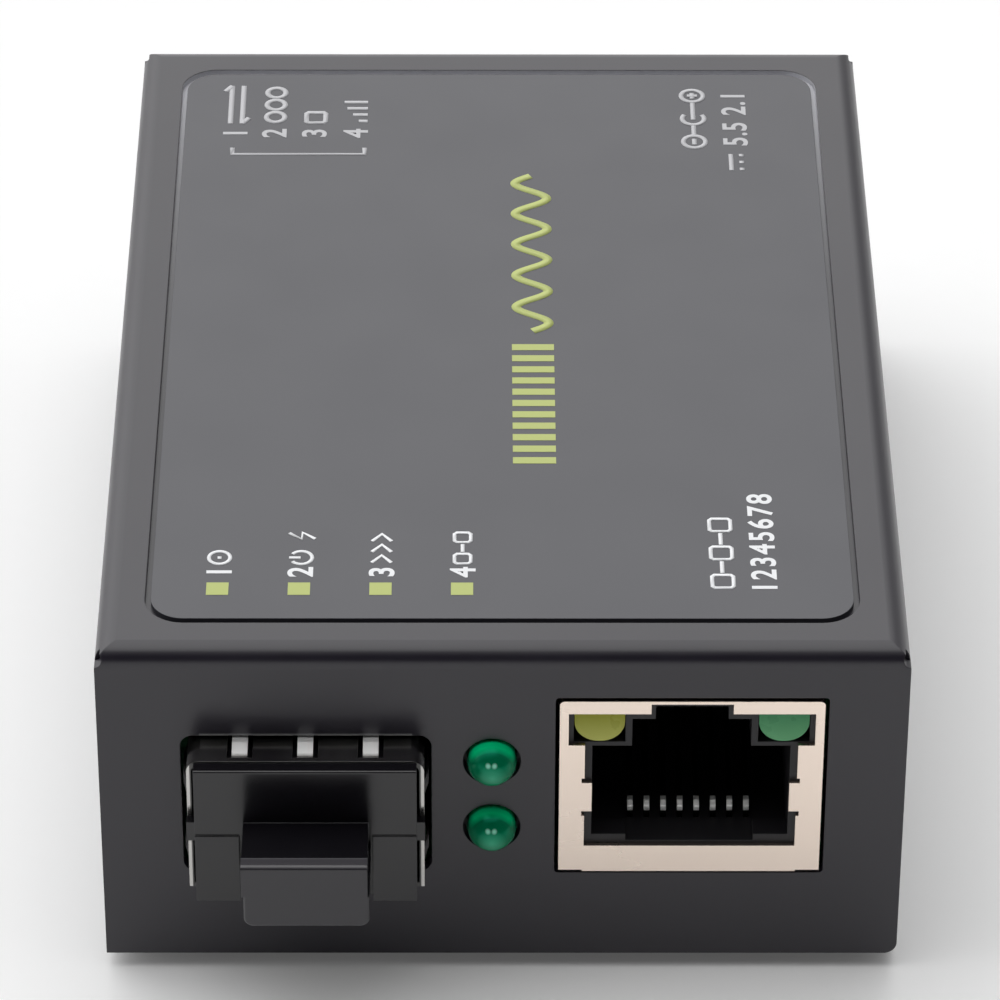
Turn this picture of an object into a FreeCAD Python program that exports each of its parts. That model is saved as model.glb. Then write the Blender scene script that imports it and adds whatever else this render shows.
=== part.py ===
# Fibre media converter: a folded steel case with one caged fibre module slot and one copper network jack.
#
# Frame: +Z up, the front panel faces -Y, +X is to the right of someone facing the front panel.
# The origin is at the middle of the converter's footprint, on the surface that its feet stand on.
# All sizes are in millimetres.

import FreeCAD
import Part
import os

V = FreeCAD.Vector
UP = V(0, 0, 1)
DOWN = V(0, 0, -1)
RIGHT = V(1, 0, 0)
BACKWARD = V(0, 1, 0)
FORWARD = V(0, -1, 0)
TINY = 1e-6                  # for comparing places

# ---------------------------------------------------------------- case
CASE_WIDTH = 49.0
CASE_LENGTH = 69.0
CASE_HEIGHT = 23.4
SHEET = 0.8                  # steel sheet of the cover and the bottom plate
COVER_FOLD_RADIUS = 1.3      # outside radius of the cover's folds
PLATE_FOLD_RADIUS = 1.0      # outside radius of the bottom plate's folds
SHEET_GAP = 0.1              # between the cover's walls and the bottom plate
SEAM = 0.15                  # open joint between two neighbouring walls of the cover
WALL_CORNER = 0.8            # lower right corner of the front wall
NOTCH_RADIUS = 0.45          # half-round relief in the fold at each top corner
NOTCH_LIFT = 0.6             # from the lower end of the fold up to the middle of the notch

# ---------------------------------------------------------------- label in its stamped pocket
LABEL_SIDE_MARGIN = 2.85     # from the case's sides to the pocket
LABEL_END_MARGIN = 3.0       # from the front and the rear to the pocket
LABEL_POCKET_DEPTH = 0.4
LABEL_POCKET_RADIUS = 2.4
LABEL_THICKNESS = 0.35
LABEL_SIDE_GAP = 0.36        # from the pocket's sides to the label
LABEL_END_GAP = 0.5          # from the pocket's ends to the label
POCKET_SHOULDER = 0.6        # how far the stamped floor reaches past the pocket underneath

# ---------------------------------------------------------------- side vents
VENT_COUNT = 10
VENT_PITCH = 4.2
VENT_WIDTH = 1.6
VENT_LENGTH = 8.0
VENT_HEIGHT = 15.2           # middle of the slots above the case bottom

# ---------------------------------------------------------------- bottom plate and feet
FLANGE_HEIGHT = 6.2
FLANGE_END = 5.0             # flat end of the plate before its side flanges begin
FLANGE_RELIEF = 1.0          # slit between that end and the flange's fold
FOOT_HEIGHT = 1.2
FOOT_RADIUS = 4.0
FOOT_TAPER = 0.5
FOOT_EDGE = 0.3
FOOT_INSET = 7.5             # from the case's sides and ends to a foot's middle

# ---------------------------------------------------------------- case screws, countersunk
SCREW_RADIUS = 1.25
SCREW_HEAD_RADIUS = 2.35
SCREW_HEAD_DEPTH = 1.1
SCREW_LENGTH = 4.0
SCREW_GAP = 0.03             # running gap round a screw or a spigot
SCREW_HEIGHT = 3.2           # above the case bottom
SCREW_FROM_END = 12.0
CROSS_WIDTH = 0.5            # cross recess of a screw head
CROSS_DEPTH = 0.6

# ---------------------------------------------------------------- circuit board on its standoffs
STANDOFF_HEIGHT = 4.3
STANDOFF_RADIUS = 2.3
SPIGOT_RADIUS = 1.9
STANDOFF_BORE_DEPTH = 4.0
BOARD_THICKNESS = 1.6
BOARD_SIDE_GAP = 1.1         # from the cover's side wall to the board
BOARD_FRONT_GAP = 1.0
BOARD_REAR_GAP = 0.6
BOARD_SCREW_HEAD_RADIUS = 2.25
BOARD_SCREW_HEAD_HEIGHT = 1.7
BOARD_SCREW_LENGTH = 5.0
LEAD_HOLE_GAP = 0.12         # from the corner of a soldered leg to its hole
LEG_BELOW_BOARD = 0.9        # how far a soldered leg stands out under the board

# ---------------------------------------------------------------- fibre module cage
CAGE_X = -11.9
CAGE_WIDTH = 14.35
CAGE_HEIGHT = 9.7
CAGE_LENGTH = 48.8
CAGE_LIFT = 0.3              # above the board
CAGE_SHEET = 0.3
CAGE_CORNER = 0.8
CAGE_MOUTH = 2.0             # how far the cage stands out of the front panel
CAGE_PANEL_GAP = 0.43        # from the cage to the edge of its opening in the panel
CAGE_PANEL_CORNER = 0.8
CAGE_FIT = 0.02              # between the cage and its floor
FINGER_WIDTH = 0.95          # earthing fingers round the mouth
FINGER_PITCH = 3.95
FINGER_SLIT = 0.3
FINGER_SHEET = 0.15
FINGER_ROOT = 0.4            # from the mouth to where a finger leaves the sheet
FINGER_LENGTH = 5.4
FINGER_TIP_DROP = 0.1        # the free end dips this far below the outside of the sheet
FINGER_PANEL_GAP = 0.17
SIDE_FINGER_PITCH = 5.0
FLOOR_FINGER_PITCH = 9.0
CAGE_LEG_COUNT = 4
CAGE_LEG_PITCH = 11.0
CAGE_LEG_START = 9.0         # from the mouth to the first leg
CAGE_LEG_WIDTH = 0.6
CAGE_VENT_RADIUS = 0.8
CAGE_VENT_COUNT = 5
CAGE_VENT_PITCH = 5.0
CAGE_VENT_START = 17.0
TONGUE_WIDTH = 3.2           # latch tongue in the floor of the cage
TONGUE_LENGTH = 9.0
TONGUE_START = 2.6
TONGUE_SLIT = 0.5
LATCH_HOLE_WIDTH = 2.2
LATCH_HOLE_LENGTH = 1.9

# ---------------------------------------------------------------- connector at the end of the cage
EDGE_CONNECTOR_WIDTH = 11.0
EDGE_CONNECTOR_DEPTH = 8.4
EDGE_CONNECTOR_HEIGHT = 5.6
EDGE_SLOT_WIDTH = 9.3
EDGE_SLOT_HEIGHT = 1.6
EDGE_SLOT_DEPTH = 6.4
EDGE_SLOT_LEVEL = 3.1        # middle of the slot above the board
EDGE_LEAD_COUNT = 10
EDGE_LEAD_PITCH = 0.8
EDGE_LEAD_SIZE = 0.3
EDGE_LEAD_REACH = 0.9

# ---------------------------------------------------------------- dust plug
PLUG_GAP = 0.15              # between the plug and the cage
PLUG_WALL = 1.2
PLUG_DEPTH = 11.0            # how far the plug reaches into the cage
PLUG_FACE = 0.9              # thickness of the face in front of the mouth
PLUG_FACE_TOP_DROP = 0.08    # from the outside of the cage's roof down to the face's top edge
PLUG_FACE_BELOW = 0.3        # how far the face hangs below the cage
PLUG_CHEEK_PROUD = 0.12      # the two lower cheeks stand out from the face
PLUG_CHEEK_HEIGHT = 5.0      # from the face's bottom edge to the top of the cheeks
PLUG_TAB_GAP = 0.24          # between the pull tab and the cheeks
PLUG_TAB_CHANNEL = 0.5       # depth of that gap behind the face
PLUG_EAR_HEIGHT = 1.4
PLUG_EAR_LEVEL = 4.9         # middle of an ear above the bottom of the cage
PLUG_EAR_REACH = 0.5
PLUG_EDGE = 0.15
TAB_WIDTH = 7.6              # the pull tab is a solid block that stands out from the face
TAB_LENGTH = 4.7
TAB_TOP = 5.7                # top of the tab above the bottom of the cage
TAB_THICKNESS = 4.25
TAB_CORNER = 0.6             # lower corners of its front
TAB_EDGE = 0.2
TAB_LIP_HEIGHT = 0.33        # grip lip along the top of its front
TAB_LIP_LENGTH = 0.95
TAB_LIP_EDGE = 0.3
TAB_PARTING = 0.12           # the two halves of the mould meet half-way up, a little out of line

# ---------------------------------------------------------------- copper network jack
JACK_X = 11.45
JACK_WIDTH = 16.0
JACK_HEIGHT = 13.05
JACK_DEPTH = 21.5
JACK_SHEET = 0.3
JACK_PROUD = 0.05            # the shell's face stands out of the panel by this
JACK_PANEL_GAP = 0.25
JACK_INNER_GAP = 0.02
JACK_MOUTH_WIDTH = 12.9
JACK_MOUTH_BOTTOM = 1.9
JACK_WINDOW_INSET = 0.55      # lamp windows in the shell, from its sides
JACK_WINDOW_TOP = 0.95       # from the shell's top down to the windows
JACK_WINDOW_HEIGHT = 2.4
JACK_NOTCH_WIDTH = 4.95
JACK_NOTCH_STRIP = 0.22      # narrow strip of shell left above the latch notch
JACK_SPRING_REACH = 0.45     # earthing springs in the shell's sides
JACK_SPRING_LOW = 4.6        # above the board
JACK_SPRING_HEIGHT = 2.2
JACK_HOOK_REACH = 0.18       # relief cuts above and below each spring
JACK_HOOK_HEIGHT = 0.35
JACK_LIP_DROP = 0.1          # the face's lower edge hangs below the board's top between its ends
JACK_LIP_INSET = 1.45
CAVITY_WIDTH = 12.0
CAVITY_DEPTH = 13.5
CAVITY_FLOOR = 2.1
CAVITY_TOP = 9.45
CAVITY_STEP_TOP = 11.5
CAVITY_NOTCH_WIDTH = 4.4
CAVITY_NOTCH_ROOF = 0.25     # plastic left above the latch notch
LEDGE_WIDTH = 2.1            # ledges in the cavity's lower corners
LEDGE_HEIGHT = 0.48
LEDGE_DEPTH = 1.8
JACK_LAMP_WIDTH = 3.05
JACK_LAMP_HEIGHT = 2.3
JACK_LAMP_DEPTH = 3.6
JACK_LAMP_SET_BACK = 0.35
JACK_LAMP_CORNER = 1.45
JACK_LAMP_INSET = 0.9         # from the shell's side to the lamp
LAMP_FRAME = 0.45            # plastic frame between a lamp and the latch step
JACK_PEG_RADIUS = 1.6
JACK_PEG_OFFSET = 5.7
JACK_PEG_BACK = 9.0
JACK_PEG_LENGTH = 2.4
CONTACT_COUNT = 8
CONTACT_PITCH = 1.02
CONTACT_SIZE = 0.35
CONTACT_BACK = 2.9           # from the shell's face to where the wires leave the floor
CONTACT_KNEE = 2.95          # height of the wires' bend above the board
CONTACT_END_BACK = 11.0
CONTACT_END_HEIGHT = 4.75

# ---------------------------------------------------------------- status lamps in their holder
STATUS_X = -0.63
STATUS_RADIUS = 1.5
STATUS_HOLE_GAP = 0.25
STATUS_LOW = 3.35            # lower lamp's axis above the board
STATUS_PITCH = 5.08
STATUS_REACH = 1.5           # how far a dome stands out of the panel
STATUS_LENGTH = 5.3
STATUS_RIM_RADIUS = 1.8
STATUS_RIM_LENGTH = 1.0
HOLDER_WIDTH = 4.8
HOLDER_DEPTH = 5.2
HOLDER_ABOVE = 2.4           # above the upper lamp's axis
HOLDER_PANEL_GAP = 0.2
HOLDER_FIT = 0.04
STATUS_LEAD_SIZE = 0.5
STATUS_LEAD_OFFSET = 1.0
STATUS_LEAD_BACK = 1.0       # lower lamp's legs turn down this far behind the holder
STATUS_LEAD_STEP = 2.2       # upper lamp's legs turn down this much further back

# ---------------------------------------------------------------- power inlet
INLET_X = 14.3
INLET_WIDTH = 9.0
INLET_HEIGHT = 11.0
INLET_DEPTH = 13.4
INLET_COLLAR_DEPTH = 3.2
INLET_BODY_INSET = 0.6
INLET_CROWN_RADIUS = 3.2
INLET_AXIS = 6.5             # above the board
INLET_BORE_RADIUS = 3.2
INLET_BORE_DEPTH = 9.0
INLET_PANEL_GAP = 0.1
INLET_HOLE_MARGIN = 0.8      # panel hole round the bore
INLET_PIN_RADIUS = 1.0
INLET_PIN_SET_BACK = 0.7
INLET_PIN_SHANK_RADIUS = 0.8
INLET_PIN_SHANK_LENGTH = 4.6
INLET_LEAF_WIDTH = 2.0
INLET_LEAF_SHEET = 0.3
INLET_LEAF_LENGTH = 6.0
INLET_LEAF_CREST = 0.45      # how far the leaf's free end rises towards the pin

# ---------------------------------------------------------------- mode switches
SWITCH_X = -13.6
SWITCH_COUNT = 4
SWITCH_PITCH = 2.54
SWITCH_END_MARGIN = 0.35     # body beyond the last lever's share of the pitch
SWITCH_HEIGHT = 6.6
SWITCH_DEPTH = 8.6
SWITCH_PANEL_GAP = 0.15
SWITCH_WINDOW_MARGIN = 0.6
SWITCH_AXIS = 3.4            # middle of the slots above the board
LEVER_TRAVEL = 1.4
LEVER_WIDTH = 1.0
LEVER_HEIGHT = 1.1
LEVER_GAP = 0.1
LEVER_SHOE_WIDTH = 1.8
LEVER_SHOE_HEIGHT = 2.0
LEVER_SHOE_DEPTH = 1.4
SWITCH_FACE = 0.7            # wall in front of the shoes
LEVER_REACH = 0.8            # how far a lever stands out of the switch body

# ---------------------------------------------------------------- parts on the board
PART_GAP = 2.6               # free board between neighbouring parts
MAGNETICS_SIZE = (15.0, 7.2, 5.8)
CONVERTER_CHIP_SIZE = (10.0, 10.0, 1.4)
MEMORY_CHIP_SIZE = (3.9, 4.9, 1.5)
CRYSTAL_SIZE = (4.6, 11.2, 3.4)
CRYSTAL_RIM = 0.4
INDUCTOR_SIZE = (5.0, 5.0, 3.0)
REGULATOR_SIZE = (6.5, 3.5, 1.6)
CAPACITOR_RADIUS = 2.5
CAPACITOR_HEIGHT = 5.8
CAPACITOR_BASE = 0.9
PACKAGE_EDGE = 0.25          # chamfer round the top of a moulded package

# ---------------------------------------------------------------- levels and planes that follow
PLUG_FACE_FRONT = CAGE_MOUTH + PLUG_FACE
PLUG_REACH = PLUG_FACE_FRONT + TAB_LENGTH
FRONT_Y = -(CASE_LENGTH + PLUG_REACH) / 2 + PLUG_REACH
REAR_Y = FRONT_Y + CASE_LENGTH
SIDE_X = CASE_WIDTH / 2
BASE_Z = FOOT_HEIGHT
TOP_Z = BASE_Z + CASE_HEIGHT
PANEL_BACK_Y = FRONT_Y + SHEET
REAR_PANEL_FRONT_Y = REAR_Y - SHEET
PLATE_TOP_Z = BASE_Z + SHEET
BOARD_BOTTOM_Z = PLATE_TOP_Z + STANDOFF_HEIGHT
BOARD_TOP_Z = BOARD_BOTTOM_Z + BOARD_THICKNESS
BOARD_SIDE_X = SIDE_X - SHEET - BOARD_SIDE_GAP
PLATE_SIDE_X = SIDE_X - SHEET - SHEET_GAP

CAGE_FRONT_Y = FRONT_Y - CAGE_MOUTH
CAGE_REAR_Y = CAGE_FRONT_Y + CAGE_LENGTH
CAGE_BOTTOM_Z = BOARD_TOP_Z + CAGE_LIFT
CAGE_TOP_Z = CAGE_BOTTOM_Z + CAGE_HEIGHT
CAGE_HALF = CAGE_WIDTH / 2
CAGE_INNER_HALF = CAGE_HALF - CAGE_SHEET
CAGE_MIDDLE_Z = (CAGE_BOTTOM_Z + CAGE_TOP_Z) / 2
FINGER_TIP_BACK = FINGER_ROOT + FINGER_LENGTH

JACK_FRONT_Y = FRONT_Y - JACK_PROUD
JACK_REAR_Y = JACK_FRONT_Y + JACK_DEPTH
JACK_TOP_Z = BOARD_TOP_Z + JACK_HEIGHT
JACK_HALF = JACK_WIDTH / 2

STATUS_LEVELS = [BOARD_TOP_Z + STATUS_LOW, BOARD_TOP_Z + STATUS_LOW + STATUS_PITCH]
STATUS_DOME_Y = FRONT_Y - STATUS_REACH + STATUS_RADIUS
STATUS_BACK_Y = FRONT_Y - STATUS_REACH + STATUS_LENGTH
HOLDER_FRONT_Y = PANEL_BACK_Y + HOLDER_PANEL_GAP
HOLDER_BACK_Y = HOLDER_FRONT_Y + HOLDER_DEPTH
STATUS_LEG_Y = [HOLDER_BACK_Y + STATUS_LEAD_BACK, HOLDER_BACK_Y + STATUS_LEAD_BACK + STATUS_LEAD_STEP]

INLET_FACE_Y = REAR_PANEL_FRONT_Y - INLET_PANEL_GAP
INLET_BACK_Y = INLET_FACE_Y - INLET_DEPTH
INLET_AXIS_Z = BOARD_TOP_Z + INLET_AXIS

SWITCH_FACE_Y = REAR_PANEL_FRONT_Y - SWITCH_PANEL_GAP
SWITCH_HALF = SWITCH_COUNT * SWITCH_PITCH / 2 + SWITCH_END_MARGIN
SWITCH_AXIS_Z = BOARD_TOP_Z + SWITCH_AXIS
LEVER_REST_Z = SWITCH_AXIS_Z - LEVER_TRAVEL / 2

# Standoffs: between cage and jack, beside the jack's rear, between cage and switches, beside the inlet.
STANDOFF_POINTS = [
    (STATUS_X, STATUS_LEG_Y[1] + PART_GAP + STANDOFF_RADIUS),
    (BOARD_SIDE_X - STANDOFF_RADIUS - LEAD_HOLE_GAP, JACK_REAR_Y + PART_GAP / 2 + BOARD_SCREW_HEAD_RADIUS),
    (-SIDE_X + SCREW_LENGTH + STANDOFF_RADIUS + PART_GAP / 4,
     (CAGE_REAR_Y + SWITCH_FACE_Y - SWITCH_DEPTH) / 2),
    (INLET_X - INLET_WIDTH / 2 - PART_GAP - STANDOFF_RADIUS, REAR_PANEL_FRONT_Y - PART_GAP - STANDOFF_RADIUS),
]
FOOT_POINTS = [
    (side * (SIDE_X - FOOT_INSET), end)
    for end in (FRONT_Y + FOOT_INSET, REAR_Y - FOOT_INSET)
    for side in (-1, 1)
]
CASE_SCREW_POINTS = [
    (side, end)
    for end in (FRONT_Y + SCREW_FROM_END, REAR_Y - SCREW_FROM_END)
    for side in (-1, 1)
]


# ---------------------------------------------------------------- shared helpers
def box(x0, x1, y0, y1, z0, z1):
    return Part.makeBox(x1 - x0, y1 - y0, z1 - z0, V(x0, y0, z0))


def centred_box(x, width, y0, y1, z0, z1):
    return box(x - width / 2, x + width / 2, y0, y1, z0, z1)


def straight_edges(shape, axis, keep=None):
    """Edges that run along one axis (0, 1 or 2), optionally only those whose middle passes keep()."""
    found = []
    for edge in shape.Edges:
        if len(edge.Vertexes) != 2 or edge.Curve.TypeId != "Part::GeomLine":
            continue
        run = edge.Vertexes[1].Point - edge.Vertexes[0].Point
        across = [abs(run[i]) for i in range(3) if i != axis]
        middle = (edge.Vertexes[1].Point + edge.Vertexes[0].Point) * 0.5
        if max(across) < TINY and (keep is None or keep(middle)):
            found.append(edge)
    return found


def rounded(shape, axis, radius, keep=None):
    return shape.makeFillet(radius, straight_edges(shape, axis, keep))


def rounded_box(axis, radius, x0, x1, y0, y1, z0, z1):
    return rounded(box(x0, x1, y0, y1, z0, z1), axis, radius)


def prism_along_x(points, x0, x1):
    """A closed outline of (y, z) points, drawn out from x0 to x1."""
    corners = [V(x0, y, z) for y, z in points]
    return Part.Face(Part.makePolygon(corners + corners[:1])).extrude(V(x1 - x0, 0, 0))


def prism_along_y(points, y0, y1):
    """A closed outline of (x, z) points, drawn out from y0 to y1."""
    corners = [V(x, y0, z) for x, z in points]
    return Part.Face(Part.makePolygon(corners + corners[:1])).extrude(V(0, y1 - y0, 0))


def prism_along_z(points, z0, z1):
    """A closed outline of (x, y) points, drawn out from z0 to z1."""
    corners = [V(x, y, z0) for x, y in points]
    return Part.Face(Part.makePolygon(corners + corners[:1])).extrude(V(0, 0, z1 - z0))


def strip(points, thickness, x, width):
    """A bent strip or wire: a path of (y, z) points given a thickness and a width along X."""
    path = Part.makePolygon([V(x - width / 2, y, z) for y, z in points])
    outline = path.makeOffset2D(thickness / 2, 0, False, False, False)
    face = Part.Face(outline) if outline.ShapeType == "Wire" else Part.Face(outline.Wires[0])
    return face.extrude(V(width, 0, 0))


def slot_through_side(side, y, z, width, length):
    """A slot with round ends, upright, through the case's side wall."""
    radius = width / 2
    reach = length / 2 - radius
    x = side * SIDE_X - SHEET * 1.5
    middle = box(x, x + SHEET * 3, y - radius, y + radius, z - reach, z + reach)
    ends = [Part.makeCylinder(radius, SHEET * 3, V(x, y, z + end * reach), RIGHT) for end in (-1, 1)]
    return middle.fuse(ends).removeSplitter()


def export(name, shape):
    shape.exportStep("parts/" + name + ".step")


# ---------------------------------------------------------------- case
def countersink(side, y, gap):
    """The outside of a countersunk screw in the case's side, grown by a gap."""
    z = BASE_Z + SCREW_HEIGHT
    inward = V(-side, 0, 0)
    head = Part.makeCone(SCREW_HEAD_RADIUS + gap, SCREW_RADIUS + gap, SCREW_HEAD_DEPTH,
                         V(side * SIDE_X, y, z), inward)
    shank = Part.makeCylinder(SCREW_RADIUS + gap, SCREW_LENGTH, V(side * SIDE_X, y, z), inward)
    return head.fuse(shank)


def folded_block(side_x, y0, y1, top_z, radius):
    """A block with its four top edges rounded, mitred where two of them meet."""
    def top_fold(middle):
        return middle.z > top_z - TINY

    block = box(-side_x, side_x, y0, y1, BASE_Z, top_z)
    return rounded(block, 0, radius, top_fold).common(rounded(block, 1, radius, top_fold))


def folded_shell():
    """A five-sided pan: one sheet folded down along its four top edges."""
    outside = folded_block(SIDE_X, FRONT_Y, REAR_Y, TOP_Z, COVER_FOLD_RADIUS)
    inside = folded_block(SIDE_X - SHEET, PANEL_BACK_Y, REAR_PANEL_FRONT_Y, TOP_Z - SHEET,
                          max(COVER_FOLD_RADIUS - SHEET, SHEET / 8))
    return outside.cut(inside)


def label_pocket():
    return rounded_box(2, LABEL_POCKET_RADIUS, -SIDE_X + LABEL_SIDE_MARGIN, SIDE_X - LABEL_SIDE_MARGIN,
                       FRONT_Y + LABEL_END_MARGIN, REAR_Y - LABEL_END_MARGIN,
                       TOP_Z - LABEL_POCKET_DEPTH, TOP_Z + SHEET)


def stamped_floor():
    side = SIDE_X - LABEL_SIDE_MARGIN + POCKET_SHOULDER
    reach = LABEL_END_MARGIN - POCKET_SHOULDER
    return rounded_box(2, LABEL_POCKET_RADIUS + POCKET_SHOULDER, -side, side, FRONT_Y + reach, REAR_Y - reach,
                       TOP_Z - SHEET - LABEL_POCKET_DEPTH, TOP_Z - SHEET)


def corner_seams():
    """The open joints beside the front and rear walls, and the relief notch above each of them."""
    notch_z = TOP_Z - COVER_FOLD_RADIUS + NOTCH_LIFT
    tools = []
    for side in (-1, 1):
        for wall_y, inward in ((FRONT_Y, 1), (REAR_Y, -1)):
            x = sorted((side * (SIDE_X + SHEET), side * (SIDE_X - SHEET)))
            y = sorted((wall_y + inward * SHEET, wall_y + inward * (SHEET + SEAM)))
            tools.append(box(x[0], x[1], y[0], y[1], BASE_Z - SHEET, notch_z))
            start = V(side * SIDE_X, wall_y - inward * SHEET, notch_z)
            tools.append(Part.makeCylinder(NOTCH_RADIUS, 2 * SHEET + SEAM, start, V(0, inward, 0)))
    return tools


def front_openings():
    y0 = FRONT_Y - SHEET
    y1 = PANEL_BACK_Y + SHEET
    cage_half = CAGE_HALF + CAGE_PANEL_GAP
    jack_half = JACK_HALF + JACK_PANEL_GAP
    slot = rounded_box(1, CAGE_PANEL_CORNER, CAGE_X - cage_half, CAGE_X + cage_half, y0, y1,
                       CAGE_BOTTOM_Z - CAGE_PANEL_GAP, CAGE_TOP_Z + CAGE_PANEL_GAP)
    jack = rounded_box(1, JACK_PANEL_GAP, JACK_X - jack_half, JACK_X + jack_half, y0, y1,
                       BOARD_TOP_Z - JACK_PANEL_GAP, JACK_TOP_Z + JACK_PANEL_GAP)
    lamps = [Part.makeCylinder(STATUS_RADIUS + STATUS_HOLE_GAP, y1 - y0, V(STATUS_X, y0, z), BACKWARD)
             for z in STATUS_LEVELS]
    return [slot, jack] + lamps


def rear_openings():
    y0 = REAR_PANEL_FRONT_Y - SHEET
    y1 = REAR_Y + SHEET
    inlet = Part.makeCylinder(INLET_BORE_RADIUS + INLET_HOLE_MARGIN, y1 - y0,
                              V(INLET_X, y0, INLET_AXIS_Z), BACKWARD)
    half = (SWITCH_COUNT - 1) * SWITCH_PITCH / 2 + LEVER_WIDTH / 2 + SWITCH_WINDOW_MARGIN
    reach = (LEVER_TRAVEL + LEVER_HEIGHT) / 2 + SWITCH_WINDOW_MARGIN
    switches = rounded_box(1, SWITCH_WINDOW_MARGIN / 2, SWITCH_X - half, SWITCH_X + half, y0, y1,
                           SWITCH_AXIS_Z - reach, SWITCH_AXIS_Z + reach)
    return [inlet, switches]


def side_vents():
    first = (FRONT_Y + REAR_Y) / 2 - (VENT_COUNT - 1) * VENT_PITCH / 2
    return [slot_through_side(side, first + i * VENT_PITCH, BASE_Z + VENT_HEIGHT, VENT_WIDTH, VENT_LENGTH)
            for side in (-1, 1) for i in range(VENT_COUNT)]


def lower_right_corner(middle):
    """True for the lower right corner of the front wall, the one corner that is rounded off."""
    return middle.x > SIDE_X - TINY and middle.y < PANEL_BACK_Y and middle.z < BASE_Z + TINY


def top_cover():
    shell = folded_shell().fuse(stamped_floor()).removeSplitter()
    tools = [label_pocket()] + corner_seams() + front_openings() + rear_openings() + side_vents()
    tools += [countersink(side, y, SCREW_GAP) for side, y in CASE_SCREW_POINTS]
    return rounded(shell.cut(tools), 1, WALL_CORNER, lower_right_corner)


def label_overlay():
    side = SIDE_X - LABEL_SIDE_MARGIN - LABEL_SIDE_GAP
    inset = LABEL_END_MARGIN + LABEL_END_GAP
    floor_z = TOP_Z - LABEL_POCKET_DEPTH
    return rounded_box(2, LABEL_POCKET_RADIUS - LABEL_SIDE_GAP, -side, side, FRONT_Y + inset, REAR_Y - inset,
                       floor_z, floor_z + LABEL_THICKNESS)


def bottom_plate():
    """Flat plate with a flange folded up along each side, and a relief slit at both ends of every fold."""
    y0 = PANEL_BACK_Y + SHEET_GAP
    y1 = REAR_PANEL_FRONT_Y - SHEET_GAP

    def bottom_fold(middle):
        return middle.z < PLATE_TOP_Z + SHEET / 2

    channel = box(-PLATE_SIDE_X, PLATE_SIDE_X, y0 + FLANGE_END, y1 - FLANGE_END,
                  BASE_Z, BASE_Z + FLANGE_HEIGHT)
    hollow = box(-PLATE_SIDE_X + SHEET, PLATE_SIDE_X - SHEET, y0, y1, PLATE_TOP_Z, BASE_Z + FLANGE_HEIGHT * 2)
    channel = rounded(channel, 1, PLATE_FOLD_RADIUS, bottom_fold)
    hollow = rounded(hollow, 1, max(PLATE_FOLD_RADIUS - SHEET, SHEET / 8), bottom_fold)
    flat_x = PLATE_SIDE_X - PLATE_FOLD_RADIUS - SEAM
    end_length = FLANGE_END - FLANGE_RELIEF
    flats = [box(-flat_x, flat_x, y0, y1, BASE_Z, PLATE_TOP_Z),
             box(-PLATE_SIDE_X, PLATE_SIDE_X, y0, y0 + end_length, BASE_Z, PLATE_TOP_Z),
             box(-PLATE_SIDE_X, PLATE_SIDE_X, y1 - end_length, y1, BASE_Z, PLATE_TOP_Z)]
    plate = channel.cut(hollow).fuse(flats).removeSplitter()
    tools = [countersink(side, y, SCREW_GAP) for side, y in CASE_SCREW_POINTS]
    tools += [Part.makeCylinder(SPIGOT_RADIUS + SCREW_GAP, SHEET * 3, V(x, y, BASE_Z - SHEET), UP)
              for x, y in STANDOFF_POINTS]
    return plate.cut(tools)


def cross_recess(point, direction):
    """Two crossed grooves that a screwdriver turns."""
    reach = SCREW_HEAD_RADIUS * 0.6
    half = CROSS_WIDTH / 2
    deep = CROSS_DEPTH * 2
    bars = [Part.makeBox(deep, 2 * half, 2 * reach, V(-CROSS_DEPTH, -half, -reach)),
            Part.makeBox(deep, 2 * reach, 2 * half, V(-CROSS_DEPTH, -reach, -half))]
    turn = FreeCAD.Rotation(RIGHT, direction)
    recess = bars[0].fuse(bars[1])
    recess.Placement = FreeCAD.Placement(point, turn)
    return recess


def case_screw(side, y):
    head_point = V(side * SIDE_X, y, BASE_Z + SCREW_HEIGHT)
    return countersink(side, y, 0).cut(cross_recess(head_point, V(side, 0, 0)))


def rubber_foot(x, y):
    foot = Part.makeCone(FOOT_RADIUS - FOOT_TAPER, FOOT_RADIUS, FOOT_HEIGHT, V(x, y, 0), UP)
    rim = [edge for edge in foot.Edges if len(edge.Vertexes) == 1 and edge.Vertexes[0].Point.z < FOOT_EDGE]
    return foot.makeFillet(FOOT_EDGE, rim)


# ---------------------------------------------------------------- board and what carries it
def standoff(x, y):
    post = Part.makeCylinder(STANDOFF_RADIUS, STANDOFF_HEIGHT, V(x, y, PLATE_TOP_Z), UP)
    spigot = Part.makeCylinder(SPIGOT_RADIUS, SHEET, V(x, y, BASE_Z), UP)
    bore = Part.makeCylinder(SCREW_RADIUS + SCREW_GAP, STANDOFF_BORE_DEPTH, V(x, y, BOARD_BOTTOM_Z), DOWN)
    return post.fuse(spigot).removeSplitter().cut(bore)


def board_screw(x, y):
    head = Part.makeCylinder(BOARD_SCREW_HEAD_RADIUS, BOARD_SCREW_HEAD_HEIGHT, V(x, y, BOARD_TOP_Z), UP)
    middle_z = BOARD_TOP_Z + BOARD_SCREW_HEAD_HEIGHT / 2
    rim = [edge for edge in head.Edges if len(edge.Vertexes) == 1 and edge.Vertexes[0].Point.z > middle_z]
    head = head.makeFillet(BOARD_SCREW_HEAD_HEIGHT * 0.4, rim)
    shank = Part.makeCylinder(SCREW_RADIUS, BOARD_SCREW_LENGTH, V(x, y, BOARD_TOP_Z), DOWN)
    recess = cross_recess(V(x, y, BOARD_TOP_Z + BOARD_SCREW_HEAD_HEIGHT), UP)
    return head.fuse(shank).removeSplitter().cut(recess)


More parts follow.
